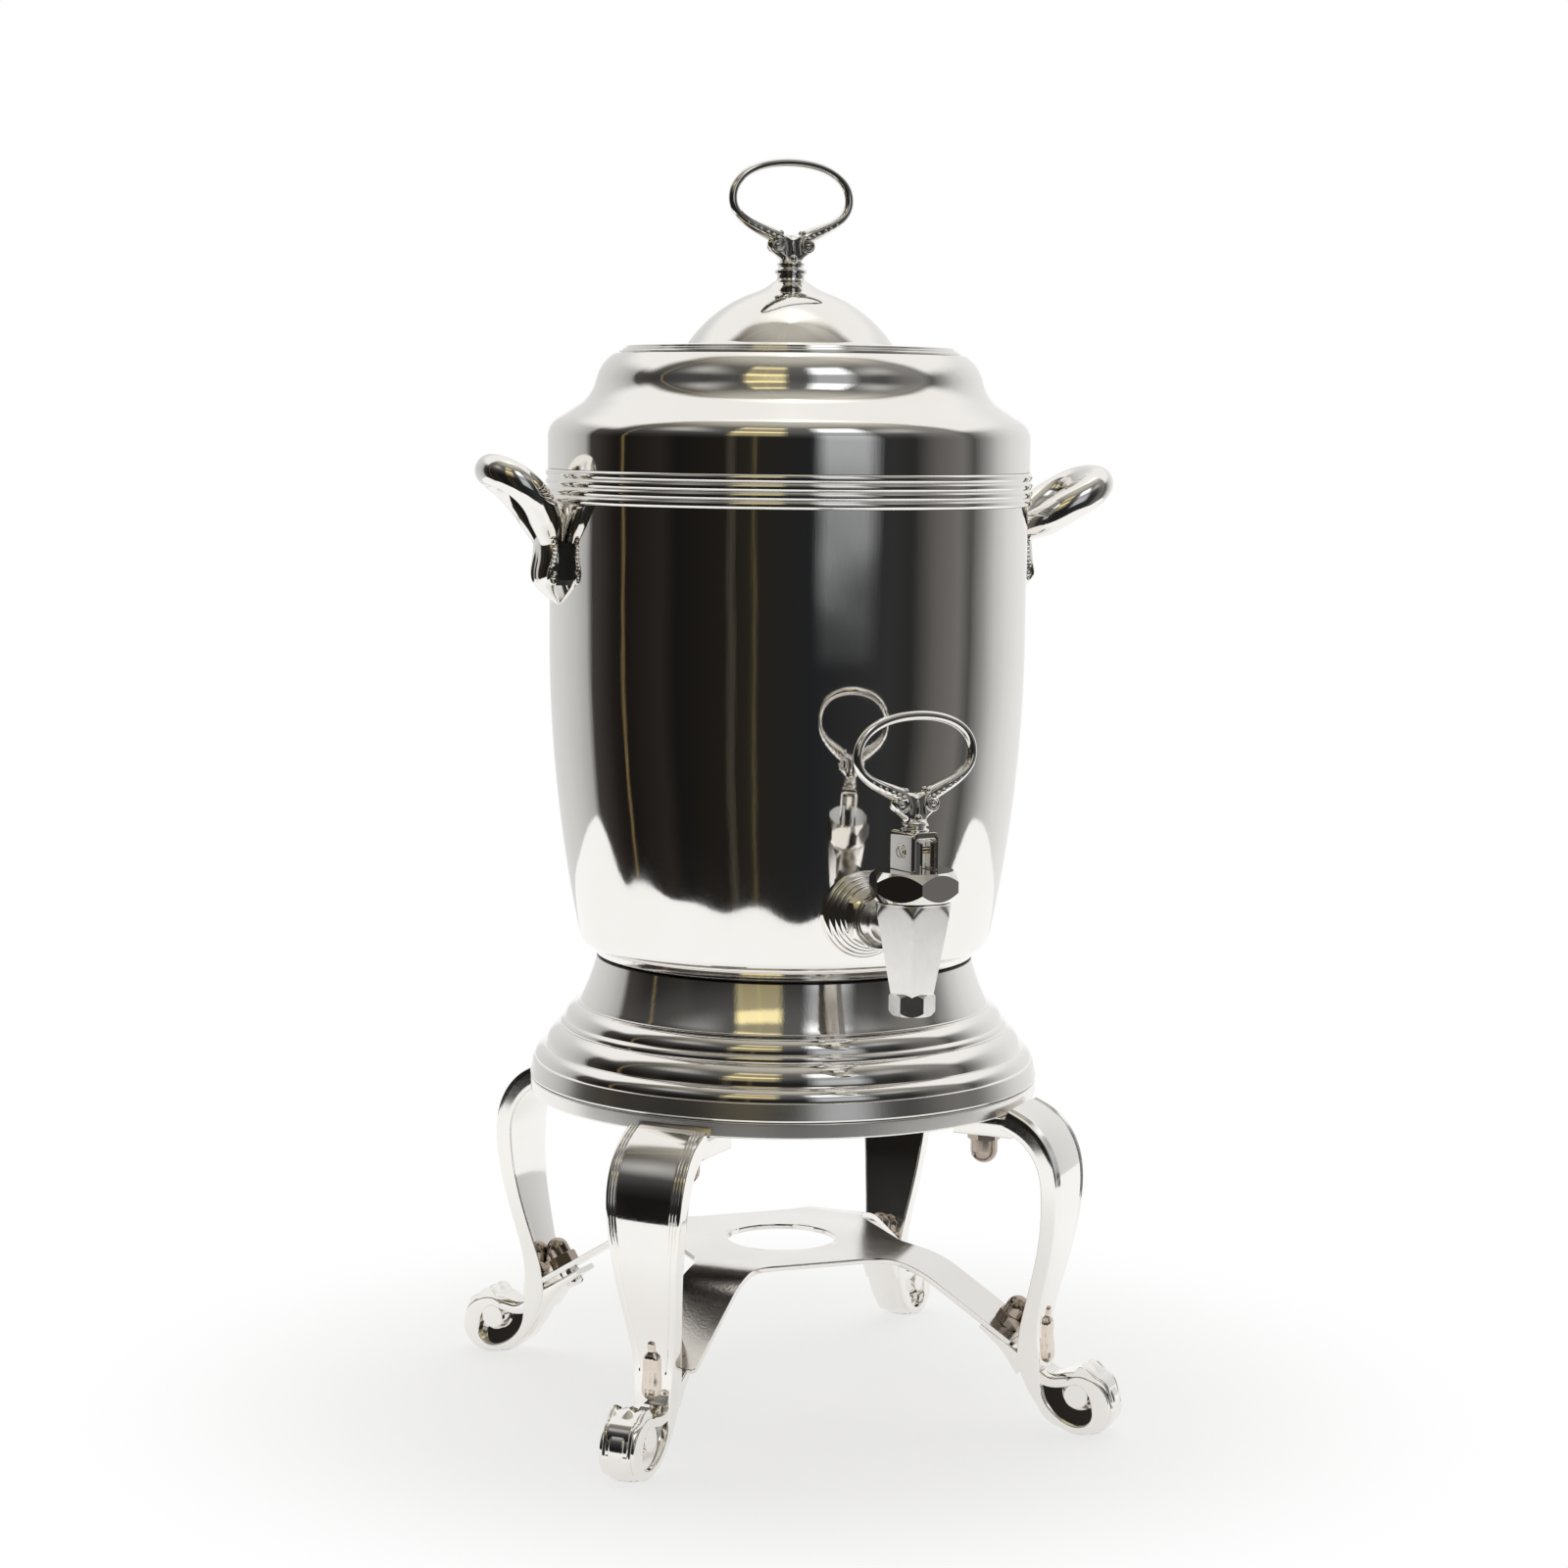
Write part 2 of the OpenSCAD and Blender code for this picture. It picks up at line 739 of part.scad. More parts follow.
module handle_left() {
    mirror([1, 0, 0])
        handle();
}

module handle_pads() {
    color(fibre)
    difference() {
        intersection() {
            for (a = [0, 180])
                rotate([0, 0, a])
                    translate([body_r - mount_seat, 0, mount_z])
                        rotate([90, 0, 90])
                            linear_extrude(height = 2 * mount_seat + pad_t)
                                polygon([[-pad_w, pad_up], [-pad_w, 1], [-mount_tip, -pad_down],
                                    [mount_tip, -pad_down], [pad_w, 1], [pad_w, pad_up]]);
            translate([0, 0, foot_z])
                cylinder(h = body_h, r = handle_s - 0.1);
        }
        translate([0, 0, foot_z - 1])
            cylinder(h = body_h + 2, r = body_r + skin);
        handle_holes();
    }
}

module handle_screws() {
    color(silver)
    at_handle_screws(body_r_at(mount_z) - wall - 0.5)
        mirror([0, 0, 1])
            pan_screw(wall + pad_t + handle_screw_l, bolt_head_r);
}

module lid_cover() {
    dome = bulge([dome_r, dome_z], [dome_top_r, knob_z], dome_bulge, 10);
    n = len(dome) - 1;
    land = lid_r - lid_land;
    color(silver)
    difference() {
        spun(concat(
            [for (s = rim_steps) [lid_r - s[0], lid_z + s[1]]],
            [[dome_r + 6, dome_z - 0.4]],
            dome,
            [[0, knob_base_z], [0, knob_z - lid_t]],
            [for (i = [n:-1:0]) dome[i] - lid_t * side(dome, i)],
            [[dome_r + 4, dome_z - 2], [land, lid_z + 2], [land, lid_z + 0.2]]));
        translate([0, 0, knob_z - 10])
            cylinder(h = 20, r = screw_r + fit);
    }
}

module lid_ring() {
    r = mouth_r - lid_gap;
    land = lid_r - lid_land;
    color(silver)
    spun([[r - wall, lid_z - lid_skirt_h], [r, lid_z - lid_skirt_h], [r, lid_z - 0.1],
        [land - skin, lid_z + 0.1], [land - skin, lid_z + 2], [r - wall, lid_z + 2]]);
}

// finger ring in the XZ plane on two scrolls, its foot at z = 0
module finger_ring() {
    a = finger_w / 2 - finger_wire_r;
    top = finger_h - finger_wire_r;
    mid = 0.615 * finger_h;
    rise = mid + 0.62 * (top - mid);
    bow = cubic([a, 0, mid], [a, 0, rise], [0.62 * a, 0, top], [0, 0, top], 10);
    half = concat(
        cubic([4.5, 0, 7], [14, 0, 13], [a, 0, mid - 10.5], [a, 0, mid], 12),
        [for (i = [1:len(bow) - 1]) bow[i]]);
    path = both_sides(half, [-1, 1]);
    n = len(path) - 1;
    tube(path, [0, 1, 0], [for (i = [0:n]) finger_wire_r + max(0, 1 - 0.14 * min(i, n - i))], 12);
    for (m = [-1, 1])
        translate([m * 8.2, 3, 6.6])
            rotate([90, 0, 0])
                cylinder(h = 6, r = 4.2);
    translate([0, 0, -1])
        cylinder(h = 10, r1 = neck_r, r2 = neck_r - 1);
}

module lid_knob() {
    color(silver) {
        translate([0, 0, knob_base_z + knob_neck_h])
            rotate([0, 0, knob_turn])
                finger_ring();
        translate([0, 0, knob_base_z])
            spun(concat([[0, 0]], neck_steps, [[neck_r, knob_neck_h], [0, knob_neck_h]]));
        translate([0, 0, knob_z - knob_thread_l])
            cylinder(h = knob_thread_l + 1, r = screw_r);
    }
}

module lid_knob_nut() {
    color(silver)
    translate([0, 0, knob_z - lid_t - 0.1])
        mirror([0, 0, 1])
            difference() {
                hex_nut(knob_nut_af, knob_nut_t);
                translate([0, 0, -1])
                    cylinder(h = knob_nut_t + 2, r = screw_r);
            }
}

// places children along the tap's shank: z = 0 at the wall, z outward
module on_shank(d) {
    translate([0, -wall_y - d, tap_z])
        rotate([90, 0, 0])
            children();
}

module tap_flange() {
    bore = shank_r + fit;
    h = flange_sink + flange_t;
    color(silver)
    difference() {
        on_shank(-flange_sink)
            spun(concat([[bore, 0], [flange_r, 0]],
                [for (s = flange_steps) [flange_r - s[0], flange_sink + s[1]]],
                [[flange_r - 6.8, h], [bore, h]]));
        spun(concat([[0, foot_z]], wall_line(skin), [[0, band_z]]));
    }
}

module tap_washer() {
    color(rubber)
    intersection() {
        on_shank(-wall - inner_washer_t)
            difference() {
                cylinder(h = inner_washer_t, r = inner_washer_r);
                translate([0, 0, -1])
                    cylinder(h = inner_washer_t + 2, r = shank_r + fit);
            }
        spun(concat([[0, foot_z + floor_h]], wall_line(-wall - skin), [[0, band_z]]));
    }
}

module tap_lock_nut() {
    color(silver)
    on_shank(-wall - inner_washer_t - lock_nut_t - 0.1)
        difference() {
            hex_nut(lock_nut_af, lock_nut_t);
            translate([0, 0, -1])
                cylinder(h = lock_nut_t + 2, r = shank_r);
        }
}

module tap_union_nut() {
    color(silver)
    on_shank(flange_t + 0.1)
        difference() {
            hex_nut(nut_af, nut_t);
            translate([0, 0, -1])
                cylinder(h = nut_t + 2, r = shank_r);
        }
}

// round and six-sided taper of the spout, about the spout's own axis
module spout_outside() {
    z = spout_tip_z;
    tip_hex = 1.08 * tip_r;
    top_hex = 1.14 * barrel_r;
    intersection() {
        spun([[0, z], [tip_r - 0.6, z], [tip_r, z + 0.8], [tip_r, z + tip_h], [barrel_r, spout_top_z],
            [0, spout_top_z]]);
        rotate([0, 0, hex_turn + 30])
            union() {
                translate([0, 0, z])
                    cylinder(h = tip_h + 0.1, r = tip_hex, $fn = 6);
                translate([0, 0, z + tip_h])
                    cylinder(h = spout_h - tip_h, r1 = tip_hex, r2 = top_hex, $fn = 6);
            }
    }
}

module tap_body() {
    shank_l = tap_reach - wall_y + wall + shank_thread_l;
    color(silver)
    difference() {
        union() {
            translate([0, -tap_reach, 0])
                spout_outside();
            translate([0, -tap_reach, tap_z])
                rotate([-90, 0, 0])
                    cylinder(h = shank_l, r = shank_r);
            on_shank(flange_t + nut_t + fit)
                cylinder(h = collar_t, r = tap_collar_r);
        }
        translate([0, -tap_reach, tap_z])
            rotate([-90, 0, 0])
                cylinder(h = shank_l + 1, r = shank_r - shank_wall);
        translate([0, -tap_reach, valve_z])
            cylinder(h = spout_top_z - valve_z + 1, r = chamber_r);
        translate([0, -tap_reach, spout_tip_z - 1])
            cylinder(h = outlet_l + 1, r = outlet_r);
        translate([0, -tap_reach, spout_tip_z])
            cylinder(h = valve_z - spout_tip_z + 1, r = seat_r);
    }
}

module bonnet_gasket() {
    color(fibre)
    translate([0, -tap_reach, spout_top_z])
        difference() {
            cylinder(h = gasket_t, r = barrel_r - 1.5);
            translate([0, 0, -1])
                cylinder(h = gasket_t + 2, r = chamber_r);
        }
}

module tap_bonnet() {
    color(silver)
    translate([0, -tap_reach, bonnet_z])
        difference() {
            rotate([0, 0, hex_turn])
                hex_nut(bonnet_af, bonnet_h);
            translate([0, 0, -1])
                cylinder(h = bonnet_h + 2, r = stem_r + stem_gap);
            translate([0, 0, -1])
                cylinder(h = spring_pocket + 1, r = spring_r + 0.6);
        }
}

module tap_stem() {
    z0 = valve_z + washer_t;
    color(silver)
    translate([0, -tap_reach, 0])
        difference() {
            union() {
                translate([0, 0, z0])
                    cylinder(h = yoke_z + 0.6 - z0, r = stem_r);
                translate([0, 0, z0])
                    cylinder(h = carrier_t, r = washer_r - 0.4);
                translate([0, 0, valve_z + washer_cup])
                    cylinder(h = washer_t, r = washer_pin_r);
                rotate([0, 0, lever_turn])
                    intersection() {
                        translate([-eye_w / 2, -stem_r, yoke_z])
                            cube([eye_w, 2 * stem_r, pivot_h + stem_r]);
                        translate([0, 0, yoke_z - 1])
                            cylinder(h = pivot_h + stem_r + 1, r = 1.2 * stem_r);
                    }
            }
            rotate([0, 0, lever_turn])
                translate([-eye_w, 0, pivot_z])
                    rotate([0, 90, 0])
                        cylinder(h = 2 * eye_w, r = pin_r + pin_gap);
        }
}

module seat_washer() {
    color(rubber)
    translate([0, -tap_reach, valve_z])
        difference() {
            cylinder(h = washer_t, r = washer_r);
            translate([0, 0, washer_cup])
                cylinder(h = washer_t, r = washer_pin_r);
        }
}

module tap_spring() {
    z0 = valve_z + washer_t + carrier_t;
    h = bonnet_z + spring_pocket - z0;
    color(silver)
    translate([0, -tap_reach, z0])
        difference() {
            cylinder(h = h, r = spring_r);
            translate([0, 0, -1])
                cylinder(h = h + 2, r = spring_r - spring_wire);
        }
}

module tap_lever() {
    slot = eye_w + 2 * eye_gap;
    color(silver)
    translate([0, -tap_reach, 0])
        rotate([0, 0, lever_turn])
            difference() {
                union() {
                    translate([-yoke_w / 2, -yoke_d / 2, yoke_z])
                        cube([yoke_w, yoke_d, yoke_h]);
                    translate([0, 0, yoke_z + yoke_h])
                        cylinder(h = lever_neck_h, r1 = neck_r + 1, r2 = neck_r);
                    translate([0, 0, yoke_z + yoke_h + lever_neck_h])
                        finger_ring();
                }
                translate([-slot / 2, -yoke_d, yoke_z - 1])
                    cube([slot, 2 * yoke_d, pivot_h + stem_r + 3]);
                translate([-yoke_w, 0, pivot_z])
                    rotate([0, 90, 0])
                        cylinder(h = 2 * yoke_w, r = pin_r);
                translate([-yoke_w / 2 - 1, 0, pivot_z])
                    rotate([0, 90, 0])
                        cylinder(h = pin_head_t + 1.2, r = pin_head_r + 0.2);
            }
}

module lever_pivot() {
    color(silver)
    translate([0, -tap_reach, pivot_z])
        rotate([0, 0, lever_turn])
            rotate([0, 90, 0])
                difference() {
                    union() {
                        translate([0, 0, -yoke_w / 2])
                            cylinder(h = yoke_w - 0.2, r = pin_r);
                        translate([0, 0, -yoke_w / 2 + 0.2])
                            cylinder(h = pin_head_t, r = pin_head_r);
                    }
                    translate([-pin_slot / 2, -pin_head_r - 1, -yoke_w / 2 - 0.6])
                        cube([pin_slot, 2 * pin_head_r + 2, 1.2]);
                }
}

stand_ring();
leg_front_left();
leg_front_right();
leg_rear_left();
leg_rear_right();
ring_screws();
ring_nuts();
burner_tray();
tray_spacers();
tray_bolts();
tray_nuts();
base();
vessel();
shoulder();
reeded_band();
handle_left();
handle_right();
handle_pads();
handle_screws();
lid_cover();
lid_ring();
lid_knob();
lid_knob_nut();
tap_flange();
tap_washer();
tap_lock_nut();
tap_union_nut();
tap_body();
bonnet_gasket();
tap_bonnet();
tap_stem();
seat_washer();
tap_spring();
tap_lever();
lever_pivot();
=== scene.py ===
"""Silver-plated hot-drink urn on a burner stand: its looks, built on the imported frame.

Every shape is a surface worked out on a grid, in millimetres and in the frame's axes: the floor is
z = 0, the urn's axis is the z axis and the tap faces -y. The points of a spun piece's outline are its
radius and height, and a third number rounds the corner.
"""

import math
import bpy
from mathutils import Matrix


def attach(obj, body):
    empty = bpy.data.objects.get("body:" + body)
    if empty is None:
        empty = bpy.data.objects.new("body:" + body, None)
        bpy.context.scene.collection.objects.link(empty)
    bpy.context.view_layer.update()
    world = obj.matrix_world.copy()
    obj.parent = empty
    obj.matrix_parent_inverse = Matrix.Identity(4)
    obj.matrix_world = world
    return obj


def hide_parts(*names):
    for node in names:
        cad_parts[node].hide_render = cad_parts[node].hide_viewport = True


bl_info = {
    "name": "Hot-drink urn",
    "version": (1, 0, 0),
    "blender": (4, 5, 0),
    "location": "3D View > Sidebar > Urn",
    "description": "Builds the plated urn, its stand, its tap and a plain stage on the packed frame",
    "category": "Add Mesh",
}

import bmesh
import bpy
import mathutils
import numpy as np

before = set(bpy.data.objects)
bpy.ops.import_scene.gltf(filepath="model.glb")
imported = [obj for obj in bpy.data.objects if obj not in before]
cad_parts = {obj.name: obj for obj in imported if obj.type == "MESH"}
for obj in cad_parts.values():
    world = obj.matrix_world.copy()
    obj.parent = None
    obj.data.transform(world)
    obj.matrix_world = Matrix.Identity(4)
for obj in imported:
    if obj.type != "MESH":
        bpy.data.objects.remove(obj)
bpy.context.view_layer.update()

MM = 0.001
LEGS = {"front_left": 225, "front_right": 315, "rear_left": 135, "rear_right": 45}

# heights, radii and distances of the main pieces, in millimetres
STAND_Z, RING_Z, RING_FLOOR_Z, RING_R, RING_HOLE_R, HANG_S = 150.0, 143.0, 145.5, 116.6, 92.6, 100.6
BAND_Z, COLLAR_Z, LID_Z, NECK_Z, GRIP_Z = 413.0, 428.0, 479.78, 512.4, 520.48
BODY_R, BELLY_R, STRAIGHT_Z, WALL = 108.8, 660.0, 353.0, 1.6
TAP_Y, TAP_Z, TAP_WALL_Y = -155.0, 238.5, 98.79
TIP_Z, SPOUT_Z, SPOUT_TOP_Z, BONNET_Z = 203.5, 211.8, 251.5, 252.2
YOKE_Z, PIVOT_Z, LEVER_NECK_Z, LEVER_RING_Z = 264.8, 272.8, 281.0, 284.1
TRAY_Z, TRAY_T, ARM_SLOPE, ARM_BEND_S, ARM_BEND_R = 71.7, 2.4, 32.0, 56.0, 51.0
HANDLE_S = 113.2

# turns of the lid's ring, of the tap's lever and of the bonnet about an upright axis, in degrees
LID_RING_TURN, LEVER_TURN, BONNET_TURN = 5, 12, -11.75

# side of a sweep whose path lies in the xz plane
ACROSS = (0, 1, 0)


# Curves

def arc(centre, r, a0, a1, n=12):
    """Circular arc: centre plus r times (cos, sin) of evenly spaced angles, in degrees."""
    a = np.radians(np.linspace(a0, a1, n + 1))
    return np.stack([centre[0] + r * np.cos(a), centre[1] + r * np.sin(a)], 1)


def bulge(p, q, h, n=10):
    """Arc from p to q that stands h over its chord, to the right of the way from p to q."""
    p, q = np.array(p, float), np.array(q, float)
    d = q - p
    chord = np.hypot(*d)
    u = np.array([d[1], -d[0]]) / chord
    r = chord * chord / (8 * h) + h / 2
    a = math.degrees(math.asin(min(1, chord / (2 * r))))
    b = math.degrees(math.atan2(u[1], u[0]))
    return arc((p + q) / 2 - (r - h) * u, r, b - a, b + a, n)


def cubic(a, b, c, d, n=24):
    """Bezier curve of four points, weighted by the cubic Bernstein terms."""
    t = np.linspace(0, 1, n + 1)[:, None]
    a, b, c, d = (np.array(v, float) for v in (a, b, c, d))
    return (1 - t) ** 3 * a + 3 * (1 - t) ** 2 * t * b + 3 * (1 - t) * t * t * c + t ** 3 * d


def spline(knots, n, axes=2):
    """Natural cubic spline through the knots, its parameter the chord length over the first axes."""
    k = np.array(knots, float)
    d = np.linalg.norm(np.diff(k[:, :axes], axis=0), axis=1)[:, None]
    t = np.concatenate([[0], np.cumsum(d)])
    m = len(k)
    i = np.arange(1, m - 1)
    a = np.zeros((m, m))
    a[0, 0] = a[-1, -1] = 1
    a[i, i - 1], a[i, i], a[i, i + 1] = d[:-1, 0], 2 * (d[:-1, 0] + d[1:, 0]), d[1:, 0]
    slope = np.diff(k, axis=0) / d
    b = np.zeros_like(k)
    b[1:-1] = 6 * (slope[1:] - slope[:-1])
    c = np.linalg.solve(a, b)
    x = np.linspace(0, t[-1], n)
    j = np.clip(np.searchsorted(t, x, side="right") - 1, 0, m - 2)
    u, h = (x - t[j])[:, None], d[j]
    return (k[j] + u * (slope[j] - h * (2 * c[j] + c[j + 1]) / 6) + u * u * c[j] / 2
            + u ** 3 * (c[j + 1] - c[j]) / (6 * h))


def eased(*corners, closed=False, step=10, hold=0.25, share=0.45):
    """Outline whose corners (x, y, radius) are rounded by tangent arcs, with a point held beside each
    arc, where that takes less than its share of the side, so that the flat next to it stays flat."""
    out = []
    k = len(corners)
    for i, corner in enumerate(corners):
        p = np.array(corner[:2], float)
        r = corner[2] if len(corner) > 2 else 0
        if r == 0 or (not closed and i in (0, k - 1)):
            out.append([p])
            continue
        a = np.array(corners[i - 1][:2], float) - p
        b = np.array(corners[(i + 1) % k][:2], float) - p
        long_a, long_b = np.hypot(*a), np.hypot(*b)
        a, b = a / long_a, b / long_b
        half = math.acos(np.clip(a @ b, -1, 1)) / 2
        run = r / math.tan(half)
        c = p + (a + b) / np.hypot(*(a + b)) * r / math.sin(half)
        s, e = p + a * run, p + b * run
        a0 = math.atan2(*(s - c)[::-1])
        turn = (math.atan2(*(e - c)[::-1]) - a0 + math.pi) % (2 * math.pi) - math.pi
        n = max(2, math.ceil(abs(math.degrees(turn)) / step))
        before = [[s + a * hold]] if run + hold < share * long_a else []
        after = [[e + b * hold]] if run + hold < share * long_b else []
        out += before + [arc(c, r, math.degrees(a0), math.degrees(a0 + turn), n)] + after
    return np.concatenate(out)


def joined(*parts):
    """Several outlines, end to end."""
    return np.concatenate([np.array(p, float).reshape(-1, 2) for p in parts])


def inward(outline, d):
    """Outline moved by d to the left of its way: each point along its own unit normal."""
    t = np.gradient(outline, axis=0)
    t /= np.linalg.norm(t, axis=1, keepdims=True)
    return outline + d * np.stack([-t[:, 1], t[:, 0]], 1)


def upright(line):
    """Points (s, z) of a side view, set up in the xz plane."""
    return np.stack([line[:, 0], 0 * line[:, 0], line[:, 1]], 1)


def mirrored(half, flip):
    """Half a line and then its mirror image, back from the middle point."""
    return np.concatenate([half, half[-2::-1] * np.array(flip)])


def turns(n):
    """Angles that go once round in n even steps."""
    return np.linspace(0, 2 * np.pi, n, endpoint=False)


def smooth(x, lo, hi):
    """Smooth step from 0 at lo to 1 at hi."""
    t = np.clip((x - lo) / (hi - lo), 0, 1)
    return t * t * (3 - 2 * t)


def hump(x, width):
    """Bell curve of height 1: e to the power of -(x / width) squared."""
    return np.exp(-(x / width) ** 2)


# Surfaces: a grid of points, and whether its rows and its columns close

def capped(grid):
    """Grid with one row more at each end, drawn together to that end's middle."""
    ends = [np.repeat(row.mean(1, keepdims=True), grid.shape[1], 1) for row in (grid[:1], grid[-1:])]
    return np.concatenate([ends[0], grid, ends[1]])


def lathe(outline, around, closed=False):
    """Outline (radius, height) turned about z: (r cos a, r sin a, z)."""
    a = turns(around)
    r, z = np.array(outline, float).T
    grid = np.stack([np.outer(r, np.cos(a)), np.outer(r, np.sin(a)),
                     np.repeat(z[:, None], around, 1)], -1)
    return grid, closed, True


def sweep(path, section, side):
    """Closed section (across, out) carried along a path: point = path + across * u + out * v, where v
    is the path's way crossed with side and u is square to both. The ends close to a point."""
    path = np.array(path, float)
    t = np.gradient(path, axis=0)
    t /= np.linalg.norm(t, axis=1, keepdims=True)
    v = np.cross(t, np.broadcast_to(np.array(side, float), t.shape))
    v /= np.linalg.norm(v, axis=1, keepdims=True)
    u = np.cross(v, t)
    section = np.broadcast_to(section, (len(path),) + np.shape(section)[-2:])
    grid = path[:, None] + section[..., :1] * u[:, None] + section[..., 1:] * v[:, None]
    return capped(grid), False, True


def wire(path, r, side, n):
    """Tube along a path: a circle of n points, its radius r given for each point of the path."""
    a = turns(n)
    r = np.broadcast_to(np.array(r, float), (len(path),))[:, None]
    return sweep(path, np.stack([r * np.cos(a), r * np.sin(a)], -1), side)


def bead(centre, size, n=14):
    """Small ball or egg: (sin b cos a, sin b sin a, cos b) scaled by its half sizes."""
    b = np.linspace(0, np.pi, n)[:, None]
    a = turns(2 * n)[None]
    unit = np.stack([np.sin(b) * np.cos(a), np.sin(b) * np.sin(a), np.cos(b) + 0 * a], -1)
    return unit * np.broadcast_to(np.array(size, float), (3,)) + np.array(centre, float), False, True


def spin(axis, deg):
    """Matrix of a turn about the axis x, y or z."""
    c, s = math.cos(math.radians(deg)), math.sin(math.radians(deg))
    i, j = {"x": (1, 2), "y": (2, 0), "z": (0, 1)}[axis]
    matrix = np.eye(3)
    matrix[i, i] = matrix[j, j] = c
    matrix[i, j], matrix[j, i] = -s, s
    return matrix


def placed(surfaces, matrix=np.eye(3), move=(0, 0, 0)):
    """The surfaces turned by a matrix and then moved."""
    return [(grid @ matrix.T + np.array(move, float), rows, cols) for grid, rows, cols in surfaces]


def hex_radius(a, flat):
    """Radius of a hexagon at angle a, from half its width across the flats."""
    return flat / np.cos((a + np.pi / 6) % (np.pi / 3) - np.pi / 6)


def hex_bar(flat, h, hole, chamfer_r, slope, around=192):
    """Six-sided nut on z from 0 to h: the hexagon's radius, cut at both ends by a cone whose edge
    follows z = (radius - chamfer_r) / slope, so each flat gets a curved outline."""
    a = turns(around)
    r = hex_radius(a, flat)
    rise = np.maximum(0, (r - chamfer_r) / slope)
    one = np.ones_like(a)
    land = 0.3
    end = [hole * one, hole * one + land, chamfer_r * one - land, np.minimum(r, chamfer_r)]
    cone = [(np.minimum(r, chamfer_r + slope * rise * k), rise * k) for k in (0.5, 0.94, 1.0)]
    rows = [(v, 0 * one) for v in end] + cone
    rows += [(r, rise + (h - 2 * rise) * k) for k in (0.04, 0.3, 0.7, 0.96)]
    rows += [(v, h - z) for v, z in cone[::-1]] + [(v, h * one) for v in end[::-1]]
    grid = np.stack([np.stack([v * np.cos(a), v * np.sin(a), z], -1) for v, z in rows])
    return grid, hole > 0, True


def body_r(z):
    """Radius of the vessel's outside at height z: an arc of radius BELLY_R below STRAIGHT_Z."""
    d = np.maximum(0, STRAIGHT_Z - z)
    return BODY_R - BELLY_R + np.sqrt(BELLY_R ** 2 - d * d)


# Sizes and colours a user may change

def length_of(name, description, default, least, most):
    """Property for a length in metres."""
    return bpy.props.FloatProperty(name=name, description=description, default=default, min=least, max=most,
                                   unit="LENGTH")


def colour_of(name, description, default):
    """Property for a colour."""
    return bpy.props.FloatVectorProperty(name=name, description=description, default=default, size=3,
                                         min=0, max=1, subtype="COLOR")


class UrnSizes(bpy.types.PropertyGroup):
    """Sizes of the ornament that the looks add to the solids."""

    around: bpy.props.IntProperty(
        name="Steps round", description="Steps round each spun piece", default=256, min=48, max=400)
    reed_swell: length_of("Reed swell", "Height of each reed of the band over its chord",
                          0.0008, 0.0002, 0.0012)
    groove_depth: length_of("Leg groove", "Depth of the grooves along the edges of the legs",
                            0.0007, 0, 0.0015)
    bead_r: length_of("Ring bead", "Radius of the largest bead on the finger rings", 0.00135, 0.0005, 0.002)


class UrnFinishes(bpy.types.PropertyGroup):
    """Colours of the finishes and of the floor."""

    silver: colour_of("Silver", "Colour of the polished plate", (0.93, 0.912, 0.885))
    # painted shade: this colour darkens the crevices and seams that ambient occlusion finds, together with
    # the plate's tarnishing
    tarnish_and_shade: colour_of("Tarnish and shade", "Colour of the plate in corners and under ornament", (0.17, 0.13, 0.10))
    tray: colour_of("Tray", "Colour of the duller plate of the burner tray", (0.89, 0.87, 0.845))
    worn: colour_of("Worn nuts", "Colour of the nuts, where the plate has worn", (0.47, 0.40, 0.345))
    aged: colour_of("Aged ornament", "Colour of the drops on the ankles, where polish can't reach",
                    (0.76, 0.68, 0.60))
    lining: colour_of("Lining", "Colour of the base's inside, which isn't polished", (0.075, 0.065, 0.058))
    # painted shade: the pads are near black, so they also stand for the shaded gap between each handle's
    # mount and the wall
    fibre: colour_of("Fibre", "Colour of the heat-proof pads", (0.012, 0.012, 0.012))
    rubber: colour_of("Rubber", "Colour of the washers", (0.05, 0.045, 0.04))
    spring: colour_of("Spring", "Colour of the drawn wire", (0.55, 0.55, 0.56))
    floor: colour_of("Floor", "Colour of the plain floor", (0.93, 0.925, 0.92))


def sizes():
    """The scene's sizes."""
    return bpy.context.scene.urn_sizes


def colours():
    """The scene's colours."""
    return bpy.context.scene.urn_finishes


# Finishes

class Nodes:
    """Short way to build the nodes of a material or of the room."""

    def __init__(self, owner):
        owner.use_nodes = True
        self.tree = owner.node_tree
        self.tree.nodes.clear()

    def add(self, kind, **values):
        """A node of a kind, with its settings by attribute name and its sockets by name or _number."""
        node = self.tree.nodes.new("ShaderNode" + kind)
        for key, value in values.items():
            if hasattr(node, key):
                setattr(node, key, value)
            else:
                socket = node.inputs[int(key[1:]) if key[1:].isdigit() else key.replace("_", " ")]
                if isinstance(value, bpy.types.NodeSocket):
                    self.tree.links.new(value, socket)
                else:
                    socket.default_value = value
        return node

    def calc(self, operation, *values, kind="Math"):
        """Result of a Math or VectorMath node on the values."""
        sockets = {f"_{i}": value for i, value in enumerate(values)}
        node = self.add(kind, operation=operation, **sockets)
        return node.outputs["Value" if operation in ("DOT_PRODUCT", "LENGTH") else 0]

    def between(self, value, low, high, **to):
        """Smooth step of a value between two of its sizes, from 0 to 1 or as to says."""
        return self.add("MapRange", interpolation_type="SMOOTHSTEP", Value=value, From_Min=low,
                        From_Max=high, **to).outputs[0]


def rgba(colour):
    """A colour with full alpha."""
    return tuple(colour) + (1.0,)


def steps(node, stops):
    """Puts stops (position, colour or grey) into a colour ramp and gives its result."""
    ramp = node.color_ramp
    while len(ramp.elements) < len(stops):
        ramp.elements.new(1.0)
    for element, (position, value) in zip(ramp.elements, stops):
        element.position = position
        element.color = rgba(value if hasattr(value, "__len__") else (value, value, value))
    return node.outputs[0]


